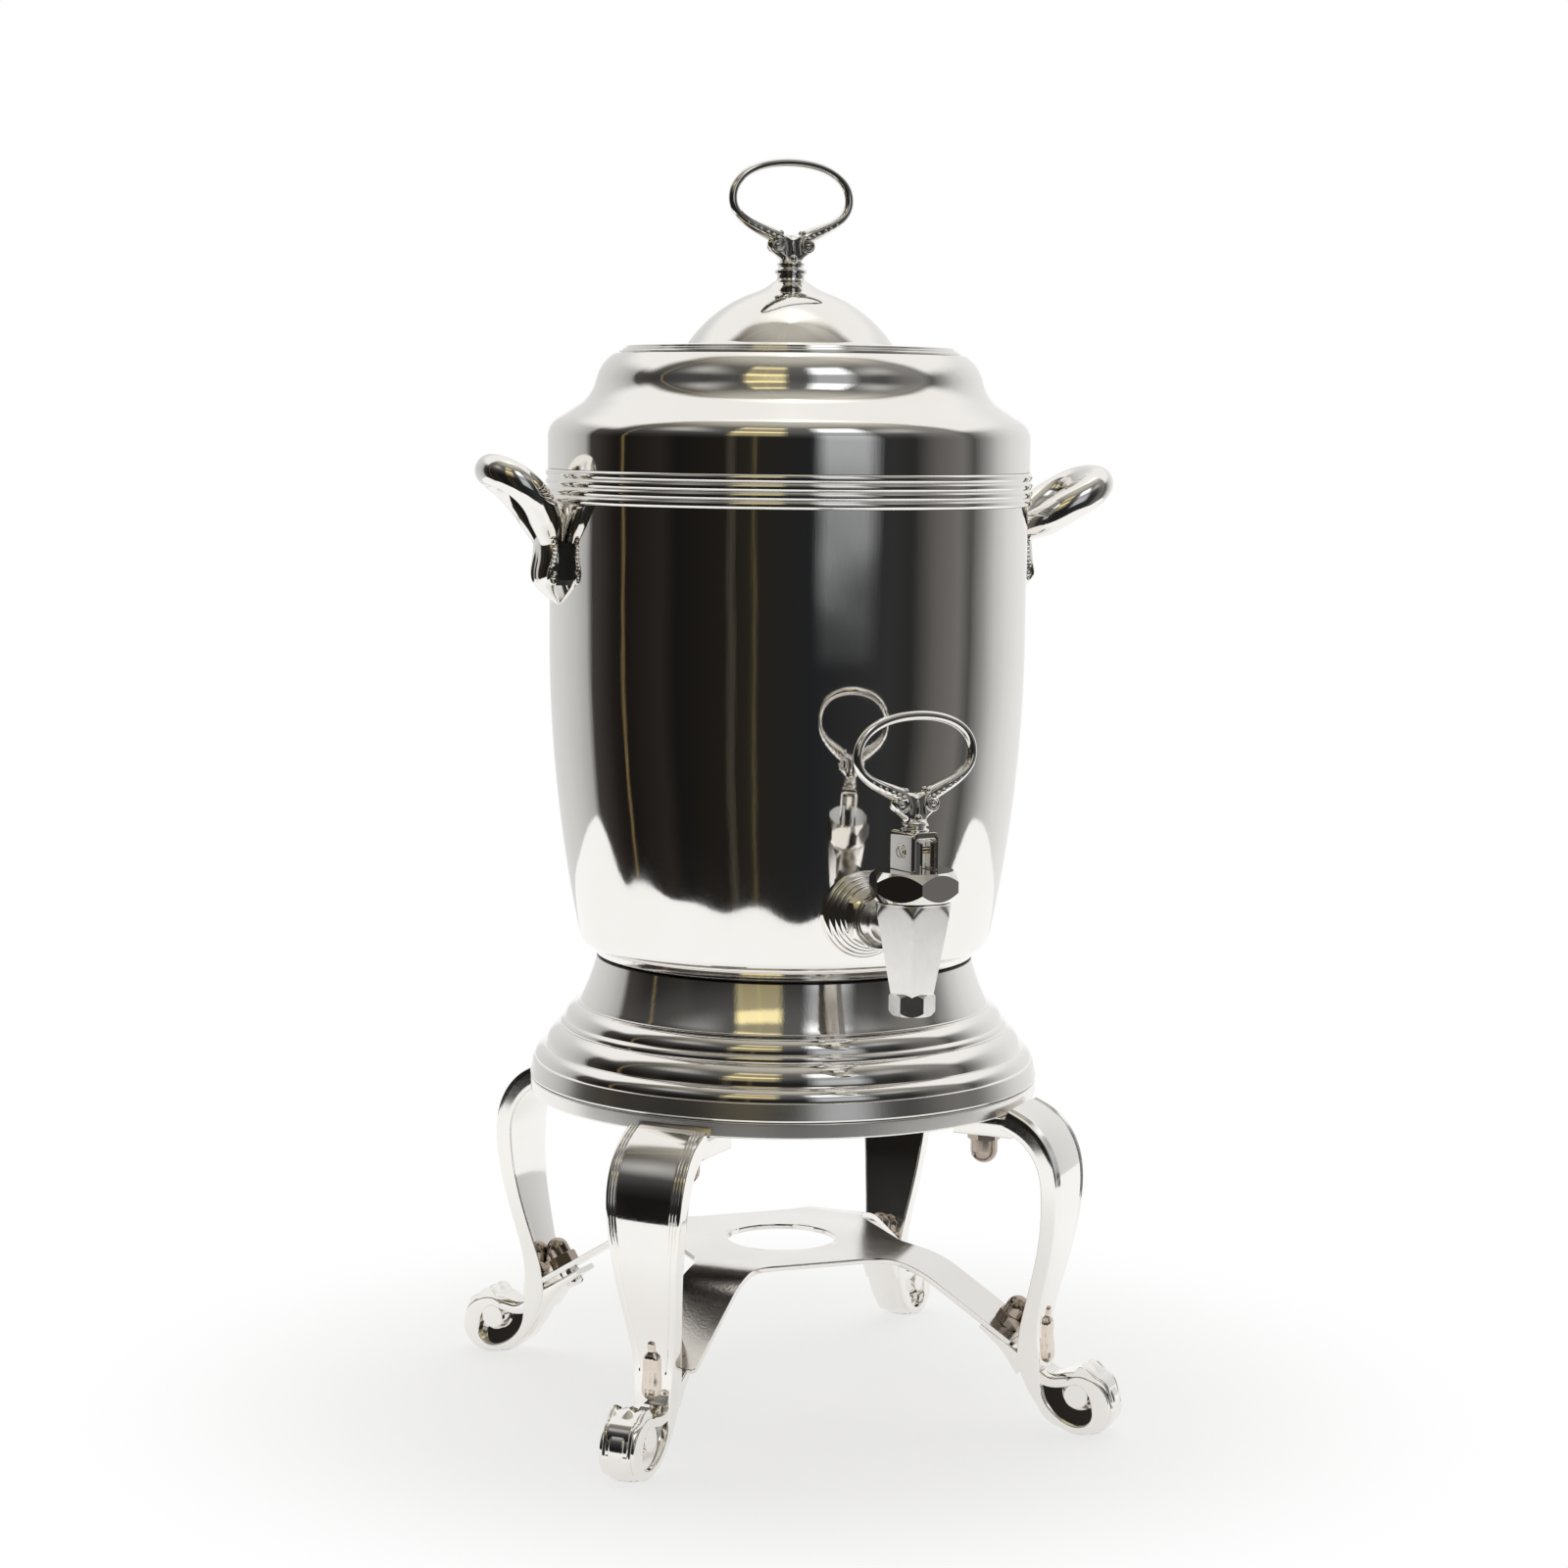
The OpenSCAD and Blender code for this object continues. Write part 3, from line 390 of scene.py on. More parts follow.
def plated(name, colour, rough, wave, mark, crevice=0.0, dull_below=0.0):
    """Silver plate: mirror metal whose roughness drifts with a noise, with a slow waviness of the sheet
    and hairline polishing marks in the bump. Where ambient occlusion finds the surface hemmed in, it is
    darkened and roughened: tarnishing in the hollows, and painted shade in crevices and in the seams
    between parts. Below a given height it is dull."""
    material = bpy.data.materials.new(name)
    n = Nodes(material)
    place = n.add("TexCoord").outputs["Object"]
    cloud = n.add("TexNoise", Vector=place, Scale=22.0, Detail=4.0, Roughness=0.6).outputs["Fac"]
    speck = n.add("TexNoise", Vector=place, Scale=420.0, Detail=3.0, Roughness=0.7).outputs["Fac"]
    gloss = n.add("MapRange", Value=n.calc("MULTIPLY_ADD", speck, 0.35, cloud), From_Min=0.45,
                  From_Max=0.95, To_Min=rough[0], To_Max=rough[1]).outputs[0]
    if dull_below:
        height = n.add("SeparateXYZ", _0=place).outputs["Z"]
        edge, dull_rough = 0.0004, 0.25
        gloss = n.between(height, dull_below - edge, dull_below + edge, To_Min=dull_rough, To_Max=gloss)
    stretch = n.add("Mapping", Vector=place, Scale=(900.0, 900.0, 55.0))
    hair = n.add("TexNoise", Vector=stretch.outputs[0], Scale=1.0, Detail=2.0)
    sheet = n.add("TexNoise", Vector=place, Scale=17.0, Detail=1.0)
    slow = n.add("Bump", Strength=1.0, Distance=wave, Height=sheet.outputs["Fac"])
    fine = n.add("Bump", Strength=1.0, Distance=mark, Height=hair.outputs["Fac"],
                 Normal=slow.outputs[0])
    warmer = [c * k for c, k in zip(colour, (0.965, 0.955, 0.935))]
    shade = n.add("MixRGB", _0=cloud, _1=rgba(colour), _2=rgba(warmer)).outputs[0]
    # painted shade and tarnishing: ambient occlusion pulls crevices, seams and gaps between parts towards
    # the dark colour and roughens them
    if crevice:
        hem = n.add("AmbientOcclusion", samples=16, only_local=False, Distance=crevice)
        dark = steps(n.add("ValToRGB", _0=hem.outputs["AO"]), [(0.04, 1.0), (0.42, 0.0)])
        share = n.calc("MULTIPLY", dark, 0.8)
        shade = n.add("MixRGB", _0=share, _1=shade, _2=rgba(colours().tarnish_and_shade)).outputs[0]
        gloss = n.calc("MULTIPLY_ADD", share, 0.35, gloss)
    shader = n.add("BsdfPrincipled", Base_Color=shade, Metallic=1.0, Roughness=gloss,
                   Normal=fine.outputs[0])
    n.add("OutputMaterial", Surface=shader.outputs[0])
    return material


def dull(name, colour, rough, grain, depth, metallic=0.0):
    """Fibre, rubber or drawn wire: colour and roughness broken by a grain, which also lifts the bump."""
    material = bpy.data.materials.new(name)
    n = Nodes(material)
    place = n.add("TexCoord").outputs["Object"]
    speck = n.add("TexNoise", Vector=place, Scale=grain, Detail=5.0, Roughness=0.65).outputs["Fac"]
    tint = n.add("MixRGB", _0=speck, _1=rgba([0.7 * c for c in colour]),
                 _2=rgba([min(1, 1.5 * c) for c in colour]))
    gloss = n.add("MapRange", Value=speck, From_Min=0.3, From_Max=0.7,
                  To_Min=0.8 * rough, To_Max=min(1.0, 1.2 * rough))
    lift = n.add("Bump", Strength=1.0, Distance=depth, Height=speck)
    shader = n.add("BsdfPrincipled", Base_Color=tint.outputs[0], Metallic=metallic,
                   Roughness=gloss.outputs[0], Normal=lift.outputs[0])
    n.add("OutputMaterial", Surface=shader.outputs[0])
    return material


# each finish: how it is made, its colour and its roughness, and then, for plate, the depths of the sheet's
# waves and of the polishing marks in metres, or else the scale of the grain and its depth in metres
FINISHES = {
    "polished_plate": (plated, "silver", (0.03, 0.085), 0.00045, 0.000008),
    "base_plate": (plated, "silver", (0.035, 0.09), 0.00045, 0.00001),
    "satin_plate": (plated, "silver", (0.20, 0.28), 0.0006, 0.00002),
    "cast_plate": (plated, "silver", (0.04, 0.11), 0.0005, 0.000004),
    "tray_plate": (plated, "tray", (0.12, 0.24), 0.0009, 0.00004),
    "worn_plate": (plated, "worn", (0.12, 0.26), 0.0006, 0.00001),
    "aged_plate": (plated, "aged", (0.06, 0.16), 0.0005, 0.00002),
    "dark_lining": (plated, "lining", (0.30, 0.55), 0.0008, 0.00005),
    "black_fibre": (dull, "fibre", 0.45, 900.0, 0.0001),
    "moulded_rubber": (dull, "rubber", 0.7, 500.0, 0.0001),
    "drawn_wire": (dull, "spring", 0.3, 700.0, 0.00003),
}
# what only some finishes have: the reach of the tarnishing and painted crevice shade and the dull rim's
# height in metres, or bare metal
EXTRAS = {
    "base_plate": {"crevice": 0.002, "dull_below": 0.1585},
    "satin_plate": {"crevice": 0.0016},
    "cast_plate": {"crevice": 0.0018},
    "tray_plate": {"crevice": 0.003},
    "aged_plate": {"crevice": 0.002},
    "drawn_wire": {"metallic": 1.0},
}


def finish(name):
    """The finish of that name, made once."""
    made = bpy.data.materials.get(name)
    if made:
        return made
    kind, colour, *depths = FINISHES[name]
    return kind(name, getattr(colours(), colour), *depths, **EXTRAS.get(name, {}))


# Pieces

def grid_mesh(name, surfaces):
    """Mesh of grid surfaces: four neighbouring points make a face, and a closed side joins on to the
    other one."""
    points, faces, start = [], [], 0
    for grid, wrap_rows, wrap_cols in surfaces:
        rows, cols = grid.shape[:2]
        a, b = np.meshgrid(np.arange(rows if wrap_rows else rows - 1),
                           np.arange(cols if wrap_cols else cols - 1), indexing="ij")
        c, d = (a + 1) % rows, (b + 1) % cols
        quads = np.stack([a * cols + b, a * cols + d, c * cols + d, c * cols + b], -1)
        faces.append(start + quads.reshape(-1, 4))
        points.append(grid.reshape(-1, 3))
        start += rows * cols
    mesh = bpy.data.meshes.new(name)
    mesh.from_pydata((np.concatenate(points) * MM).tolist(), [], np.concatenate(faces).tolist())
    return mesh


def close_seams(mesh):
    """Merges a mesh's seams and poles and points its faces outwards."""
    work = bmesh.new()
    work.from_mesh(mesh)
    bmesh.ops.remove_doubles(work, verts=work.verts, dist=2e-6)
    bmesh.ops.dissolve_degenerate(work, edges=work.edges, dist=1e-7)
    bmesh.ops.recalc_face_normals(work, faces=work.faces)
    work.to_mesh(mesh)
    work.free()


def in_scene(name, data):
    """Object that holds the data, put into the scene."""
    made = bpy.data.objects.new(name, data)
    bpy.context.scene.collection.objects.link(made)
    return made


def make_piece(name, surfaces, look, body, nodes=(), slot="silver_plate", crease=32, lined=None):
    """Puts grid surfaces into one piece and hangs it on a body of the frame in place of the named nodes.
    Edges sharper than crease stay sharp. Lined gives a second finish and the first and last row of the
    first surface that take it."""
    mesh = grid_mesh(name, surfaces)
    mesh.materials.append(finish(look))
    if lined:
        inside, first, last = lined
        mesh.materials.append(finish(inside))
        row = np.arange(len(mesh.polygons)) // surfaces[0][0].shape[1]
        mesh.polygons.foreach_set("material_index", ((row >= first) & (row < last)).astype(np.int32))
    close_seams(mesh)
    mesh.shade_smooth()
    mesh.set_sharp_from_angle(angle=math.radians(crease))
    piece = in_scene(name, mesh)
    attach(piece, body)
    if nodes:
        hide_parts(*nodes)


def make_spun(name, outline, look, body, node, closed=True, **more):
    """Makes a piece spun about the urn's axis in place of a node."""
    make_piece(name, [lathe(outline, sizes().around, closed)], look, body, [node], **more)


class URN_OT_vessel(bpy.types.Operator):
    """Make the vessel with its foot, the reeded band and the shoulder."""

    bl_idname = "urn.vessel"
    bl_label = "Vessel, band and shoulder"

    def execute(self, context):
        z = np.concatenate([np.linspace(221.5, STRAIGHT_Z, 40), [383.0, BAND_Z - 0.1]])
        wall = np.stack([body_r(z), z], 1)
        inner = wall[::-1] - np.array([WALL, 0])
        foot = eased((0, 206.6), (80.2, 206.6, 0.4), (80.2, 204.05, 0.4), (83.2, 204.05, 0.4),
                     (83.2, 206.9, 0.3), (86.8, 207.1, 0.5), (89.1, 210.6, 0.35), (89.9, 210.9))
        bend = cubic((90.2, 211.0), (93.4, 212.0), (94.35, 215.6), (95.36, 220.5), 16)
        floor = eased((93.6, 221), (92.2, 212, 3), (86, 209.4, 4), (0, 209.4))
        make_spun("vessel_shell", joined(foot, bend, wall, inner, floor), "polished_plate", "urn", "vessel",
                  closed=False)

        swell = sizes().reed_swell / MM
        r, pitch, groove = 110.0, 3.75, 0.22
        reeds = [bulge((r, z + groove), (r, z + pitch - groove), swell, 12)
                 for z in BAND_Z + pitch * np.arange(4)]
        band = joined([(BODY_R - WALL, BAND_Z), (BODY_R + 0.1, BAND_Z)], *reeds,
                      [(109.6, COLLAR_Z), (BODY_R - 0.6, COLLAR_Z), (BODY_R - WALL, COLLAR_Z - 2)])
        make_spun("reeded_band_ring", band, "polished_plate", "urn", "reeded_band", crease=50)

        collar_r = 109.8
        outer = joined([(collar_r, COLLAR_Z + 0.05), (collar_r, COLLAR_Z + 0.5), (collar_r, 442.0)],
                       arc((99.33, 442.45), 10.47, 0, 56.76, 16),
                       arc((104.59, 471.82), 16.98, 236.76, 194.38, 18),
                       arc((69.37, 464.44), 18.97, 14.38, 52.93, 16))
        lip = eased((80.54, 479.74), (71.0, 479.74, 0.8), (71.0, 472.8, 0.5), (72.6, 472.8, 0.5),
                    (72.6, 478.1, 0.6), (78.9, 478.1))
        back = inward(outer, WALL)[::-1][2:]
        make_spun("shoulder_shell", joined(outer, lip, back), "polished_plate", "urn", "shoulder")
        return {"FINISHED"}


class URN_OT_lid(bpy.types.Operator):
    """Make the lid's spun cover with its stepped rim and dome, and the ring that seats it."""

    bl_idname = "urn.lid"
    bl_label = "Lid"

    def execute(self, context):
        r, z = 77.8, LID_Z
        rim = eased((69.8, z + 0.25), (77.2, z + 0.25, 0.3), (r, z + 0.75, 0.3), (r - 0.35, z + 1.3, 0.15),
                    (r - 1.5, z + 1.42, 0.12), (r - 1.8, z + 2.25, 0.2), (r - 3.1, z + 2.42, 0.12),
                    (r - 3.45, z + 3.45, 0.3), (r - 5.4, z + 3.72, 0.4), (52.5, 483.9, 2.0),
                    (47.2, 484.2))
        dome = joined(bulge((47.0, 484.3), (17.5, 507.6), 3.0, 34),
                      cubic((17.5, 507.6), (14.3, 508.78), (11.0, 510.0), (8.2, 512.3), 12)[1:])
        under = joined(inward(dome, 1.4)[::-1], [(48.5, 482.3)])
        cover = joined(rim, dome, [(0, 512.45), (0, 510.9)], under,
                       [(50.5, 482.1), (69.6, 481.75), (69.8, 481.6)])
        make_spun("lid_shell", cover, "polished_plate", "lid", "lid_cover", closed=False)
        seat = eased((68.4, 467.8, 0.3), (70.0, 467.8, 0.3), (70.0, 479.7, 0.05), (69.75, 479.9, 0.05),
                     (69.75, 481.7, 0.1), (68.4, 481.7, 0.2), closed=True)
        make_spun("lid_seat_ring", seat, "polished_plate", "lid", "lid_ring")
        return {"FINISHED"}


class URN_OT_base(bpy.types.Operator):
    """Make the moulded base and the ring of the stand that holds it."""

    bl_idname = "urn.base"
    bl_label = "Base and stand ring"

    def execute(self, context):
        r, z = RING_R + 0.2, STAND_Z
        top_r, top_z, cone_r, cone_z = 86.4, 205.3, r - 22.8, z + 34.8
        t = np.linspace(0.04, 1, 24)
        cone = np.stack([cone_r + (top_r - cone_r) * (1 - (1 - t) * (1 - 0.3 * t)),
                         cone_z + (top_z - cone_z) * t], 1)
        outer = joined(
            eased((114.0, z + 0.4), (r - 0.2, z + 0.4, 0.35), (r, z + 1.2, 0.3), (r - 1.4, z + 8.3, 0.25),
                  (r - 2.1, z + 8.6)),
            bulge((r - 2.1, z + 8.65), (r - 7.2, z + 14.5), 1.5, 14),
            bulge((r - 7.5, z + 14.6), (r - 14.2, z + 23.9), 1.8, 18),
            bulge((r - 13.95, z + 24.2), (r - 15.6, z + 26.8), 0.55, 8),
            bulge((r - 16.2, z + 27.0), (r - 21.6, z + 33.8), 1.4, 14),
            bulge((r - 22.0, z + 34.0), (r - 22.8, z + 34.7), 0.25, 6), cone)
        inner = joined(
            eased((top_r, 205.2), (86.2, 205.7, 0.3), (84.9, 205.7, 0.2), (84.9, 204.3)),
            eased((84.9, 204.0), (68.0, 204.0, 0.4), (68.0, 202.4, 0.4), (84.2, 202.4, 1.0), (91.6, 185)),
            [(99.1, 174), (105.6, 165)],
            eased((105.6, 165), (112.2, 157, 2), (112.2, 147.1, 1.5), (RING_HOLE_R, 147.1, 0.3),
                  (RING_HOLE_R, RING_FLOOR_Z, 0.3), (113.8, RING_FLOOR_Z, 1.5), (113.8, 150.2)))
        make_spun("base_moulding", joined(outer, inner), "base_plate", "stand", "base",
                  lined=("dark_lining", len(outer), len(outer) + len(inner) - 1))
        band = eased((RING_HOLE_R, RING_Z, 0.4), (RING_R, RING_Z, 0.7), (RING_R, STAND_Z, 0.6),
                     (114.1, STAND_Z, 0.3), (114.1, RING_FLOOR_Z, 0.2), (RING_HOLE_R, RING_FLOOR_Z, 0.4),
                     closed=True)
        make_spun("stand_ring_band", band, "base_plate", "stand", "stand_ring")
        return {"FINISHED"}


# side view of the leg: distance from the urn's axis, height, thickness and width
LEG_LINE = [
    (117.0, 141.6, 9.4, 37.0), (125.5, 137.4, 9.2, 37.0), (133.4, 129.2, 8.6, 37.0),
    (137.7, 118.0, 7.8, 36.6), (138.4, 107.0, 7.6, 35.2), (137.0, 90.0, 7.2, 31.4),
    (132.9, 70.5, 6.9, 26.6), (129.0, 55.0, 7.5, 22.2), (126.8, 42.0, 9.4, 19.2),
    (126.9, 33.0, 10.4, 18.2), (128.3, 23.9, 8.7, 17.6), (131.8, 14.1, 4.8, 17.2),
    (138.7, 6.3, 3.8, 17.0), (145.8, 2.6, 3.4, 17.0), (151.6, 1.85, 3.6, 17.0),
    (157.3, 3.8, 5.2, 17.0), (160.9, 8.4, 7.4, 17.0), (161.2, 14.2, 8.6, 17.0),
    (159.2, 19.4, 7.8, 17.0), (154.4, 23.0, 6.2, 17.0), (149.6, 23.8, 5.4, 17.0),
    (146.0, 22.4, 4.4, 17.0)]


def leg_strap():
    """The leg as one strap: a rounded rectangle carried down the side view, its front face with three
    grooves along each edge, bell curves that fade below the knee, its back face with a raised middle on
    the scroll."""
    line = spline(LEG_LINE, 300)
    path = upright(line)
    half, deep = line[:, 3:4] / 2, line[:, 2:3] / 2
    run = np.linspace(0, 1, len(line))[:, None]
    knee = smooth(path[:, 2:], 84, 108) * (run < 0.5)
    fine = smooth(path[:, 2:], 34, 44) * (run < 0.55)
    scroll = smooth(run, 0.60, 0.68)

    inset = np.array([1.1, 1.4, 1.65, 1.9, 2.15, 2.4, 2.7, 3.05, 3.3, 3.55, 3.8, 4.1, 4.45, 4.7, 4.95, 5.2,
                      5.6, 6.2])[None]
    middle = np.linspace(1, 0, 7)[1:-1][None]
    left = np.concatenate([inset + 0 * half, half - (half - inset[:, -1:]) * middle], 1)
    from_edge = np.concatenate([left, half, left[:, ::-1]], 1)
    sign = np.concatenate([-np.ones(left.shape[1]), [0], np.ones(left.shape[1])])[None]
    y = sign * (half - from_edge)
    arch = 1 - (y / half) ** 2
    outer, centre, inner = (hump(from_edge - at, 0.27) for at in (1.9, 3.3, 4.7))
    depth = sizes().groove_depth / MM
    grooves = depth * (0.9 * knee * (outer + inner) + (0.5 * fine + 0.4 * knee) * centre)
    front = deep + 0.55 * arch * (1 - scroll) - grooves
    raised = 0.75 * smooth(from_edge, 2.9, 3.5) + 0.45 * smooth(from_edge, 4.9, 5.5)
    back = -deep - scroll * raised - 0.35 * (1 - scroll) * arch

    round_r = 0.6
    turn = np.radians(np.linspace(0, 90, 6))[None, 1:-1]
    a, b = half - round_r, deep - round_r
    front_corner = np.stack([a + round_r * np.sin(turn), b + round_r * np.cos(turn)], -1)
    down = np.linspace(1, -1, 5)[None, :]
    flank = np.stack([half + 0 * down, b * down], -1)
    back_corner = np.stack([a + round_r * np.cos(turn), -b - round_r * np.sin(turn)], -1)
    right = np.concatenate([front_corner, flank, back_corner], 1)
    section = np.concatenate([np.stack([y, front], -1), right, np.stack([-y, back], -1),
                              (right * np.array([-1.0, 1.0]))[:, ::-1]], 1)
    return sweep(path, section, ACROSS)


def bar(points, width, n=60, edge=0.8):
    """Strap of one width: a rounded rectangle of the given thickness carried along points (s, z,
    thickness)."""
    line = spline(points, n)
    a, b = width / 2, line[:, 2:3] / 2
    turn = np.radians(np.linspace(0, 360, 32, endpoint=False))[None]
    c, s = np.cos(turn), np.sin(turn)
    section = np.stack([np.sign(c) * (a - edge) + edge * c + 0 * b, np.sign(s) * (b - edge) + edge * s], -1)
    return sweep(upright(line), section, ACROSS)


def leg_leaf():
    """Leaf over the scroll: a thin shell carried from the crotch over the scroll's top and down its
    front; its end stands up over the top in lobes, a cosine across the width, and sinks into the strap
    lower down, where a groove runs along each side."""
    path = upright(spline([
        (134.2, 25.4), (137.2, 24.6), (141.0, 25.4), (145.5, 27.0), (150.0, 27.6), (154.2, 27.2),
        (158.2, 26.4), (161.0, 24.9), (162.7, 22.6), (163.8, 19.2), (164.9, 15.2), (165.6, 11.4),
        (164.6, 7.4), (161.9, 4.2), (158.6, 2.2)], 190))
    t = np.linspace(0, 1, len(path))[:, None]
    over = np.linspace(-1, 1, 57)
    k = np.concatenate([over, -over])[None]
    top = np.repeat([True, False], len(over))[None]
    half = 4.6 + 3.6 * smooth(t, 0.04, 0.30) - 1.3 * smooth(t, 0.42, 0.62)
    lobes = 0.84 + 0.16 * np.cos(2 * np.pi * k)
    stand = smooth(t, 0.26, 0.325) * (1 - smooth(t, 0.35, 0.47))
    groove = 0.35 * hump(np.abs(k) - 0.80, 0.045) * smooth(t, 0.30, 0.40)
    rise = 0.15 + 3.0 * lobes * stand + 0.35 * smooth(t, 0.45, 0.60) - 0.75 * smooth(t, 0.84, 1) - groove
    thick = 0.9 * np.sqrt(np.clip(1 - k ** 8, 0, 1)) + 0.06
    section = np.stack([half * k, np.where(top, rise + thick / 2, -1.4 - thick / 2)], -1)
    return sweep(path, section, ACROSS)


def leg_husk():
    """Bell-flower drop on the ankle's front: turned swellings, squared off by a fourth-power section and
    fluted by a cosine. Its middle line follows the ankle."""
    profile = spline([
        (0.1, 55.2), (1.3, 54.4), (1.7, 52.4), (1.7, 50.2), (2.3, 49.2), (3.2, 48.0), (3.6, 45.6),
        (3.75, 42.4), (3.9, 39.0), (4.1, 35.4), (3.9, 32.2), (2.8, 30.2), (0.8, 28.9), (0.1, 28.5)], 120)
    a = turns(56)[None]
    square = 1 / (np.cos(a) ** 4 + np.sin(a) ** 4) ** 0.25
    r = np.maximum(profile[:, :1], 0.03) * square * (1 + 0.03 * np.cos(12 * a))
    z = profile[:, 1:]
    ankle = np.interp(z, [24, 33, 42, 50, 55, 58, 62], [133.8, 132.5, 131.95, 132.6, 133.2, 133.8, 134.9])
    return np.stack([ankle + 0.72 * r * np.cos(a), r * np.sin(a), z + 0 * a], -1), False, True


def scroll_web():
    """Hollow inside the scroll: an oval plate whose two faces lean outwards, a straight slope from the
    crotch down to the scroll's lower edge."""
    a = turns(96)[None]
    out = np.linspace(0, 1, 24)
    k = np.concatenate([out, out[::-1]])[:, None]
    side = np.repeat([1.0, -1.0], len(out))[:, None]
    s, z = 146.0 + 15.0 * k * np.cos(a), 13.0 + 11.6 * k * np.sin(a)
    y = side * (2.6 + 4.4 * np.clip((0.45 * (149 - s) + 0.9 * (20 - z)) / 17, 0, 1))
    return np.stack([s, y, z], -1), False, True


def leg_surfaces():
    """One leg, standing out along x: strap, tab under the ring, lug under the tray, bridge in the crotch,
    leaf, the scroll's hollow and its eye."""
    eye = eased((0.02, 8.53), (5.5, 8.53, 0.25), (5.7, 6.4, 0.3), (8.2, 3.6, 0.5), (8.2, -3.6, 0.5),
                (5.7, -6.4, 0.3), (5.5, -8.53, 0.25), (0.02, -8.53))
    disc = placed([lathe(eye, 72)], spin("x", 90), (149.7, 0, 17.4))
    tab = bar([(92.8, 138.3, 9.2), (100, 138.3, 9.2), (110, 138.3, 9.2), (121, 138.0, 9.0)], 36.6)
    lug = bar([(103.4, 44.3, 2.6), (108, 41.0, 3.2), (113.5, 37.1, 4.2), (119, 32.4, 6.6),
               (124.5, 26.8, 9.4)], 17.0)
    bridge = bar([(129.6, 25.2, 6.4), (134.0, 23.0, 5.2), (138.4, 22.2, 4.6), (142.6, 22.8, 4.6),
                  (146.0, 23.4, 4.2)], 16.6)
    return [leg_strap(), tab, lug, bridge, leg_leaf(), scroll_web()] + disc


class URN_OT_legs(bpy.types.Operator):
    """Make the four cabriole legs with their scroll feet and the drops on their ankles."""

    bl_idname = "urn.legs"
    bl_label = "Legs"

    def execute(self, context):
        leg, drops = leg_surfaces(), []
        for where, angle in LEGS.items():
            drops += placed([leg_husk()], spin("z", angle))
            make_piece("leg_casting_" + where, placed(leg, spin("z", angle)), "cast_plate", "stand",
                       ["leg_" + where], crease=38)
        make_piece("leg_bell_drops", drops, "aged_plate", "stand", crease=45)
        return {"FINISHED"}


def arm_point(flat, height):
    """Tray plate bent down along its arms: past ARM_BEND_S the length along the arm follows an arc of
    ARM_BEND_R and then a straight slope, and height goes along the bent plate's normal."""
    slope = math.radians(ARM_SLOPE)
    over = np.maximum(0, flat - ARM_BEND_S)
    turn = np.minimum(over / ARM_BEND_R, slope)
    rest = np.maximum(0, over - ARM_BEND_R * slope)
    s = (np.minimum(flat, ARM_BEND_S) + ARM_BEND_R * np.sin(turn) + rest * math.cos(slope)
         + height * np.sin(turn))
    z = TRAY_Z - ARM_BEND_R * (1 - np.cos(turn)) - rest * math.sin(slope) + height * np.cos(turn)
    return s, z


class URN_OT_tray(bpy.types.Operator):
    """Make the burner tray: one plate with a round hole and four arms bent down."""

    bl_idname = "urn.tray"
    bl_label = "Burner tray"

    def execute(self, context):
        d = math.sqrt(0.5)
        reach, half, arm, hole_r, edge = 128.6, 50.5, 14.5, 25.1, 0.25
        tip = (d * (reach + arm), d * (reach - arm))
        octant = eased((half, -0.01), (half, half - arm * 2 * d + 0.01, 22), tip + (1.5,),
                       (d * reach, d * reach), step=4)
        way = np.concatenate([[0], np.cumsum(np.hypot(*np.diff(octant, axis=0).T))])
        at = np.linspace(0, way[-1], 70)
        rim = np.stack([np.interp(at, way, octant[:, 0]), np.interp(at, way, octant[:, 1])], 1)
        quarter = np.concatenate([rim, rim[-2:0:-1, ::-1]])
        loop = np.concatenate([quarter @ spin("z", a)[:2, :2].T for a in (0, 90, 180, 270)])
        angle = np.arctan2(loop[:, 1], loop[:, 0])
        hole = hole_r * np.stack([np.cos(angle), np.sin(angle)], 1)
        k = np.concatenate([[0, 0.004], np.linspace(0.03, 0.97, 54), [0.997, 1.0]])[:, None, None]
        plan = hole * (1 - k) + loop * k
        along = np.abs(plan).sum(-1) * d
        off = (np.abs(plan[..., 0]) - np.abs(plan[..., 1])) * d
        sign = np.where(plan < 0, -1.0, 1.0)

        def plate(height):
            s, z = arm_point(along, height)
            return np.stack([sign[..., 0] * (s + off) * d, sign[..., 1] * (s - off) * d, z], -1)
        upper, lower = plate(-edge), plate(-TRAY_T + edge)
        grid = np.concatenate([plate(0.0)[1:-1], upper[-1:], lower[-1:], plate(-TRAY_T)[-2:0:-1],
                               lower[:1], upper[:1]])
        make_piece("burner_plate", [(grid, True, True)], "tray_plate", "stand", ["burner_tray"])
        return {"FINISHED"}


def domed_nut(r, h):
    """Domed nut on z = 0: a chamfered hexagon under a short barrel with a round top."""
    hex_h, bolt_r = 5.6, 2.5
    dome = joined([(r - 0.3, hex_h - 0.4), (r, hex_h - 0.1), (r, hex_h + 0.2), (r, h)],
                  arc((0, h), r, 0, 89.5, 14))
    return [hex_bar(r + 0.5, hex_h, bolt_r, r + 0.45, 1.6, 96), lathe(dome, 64)]


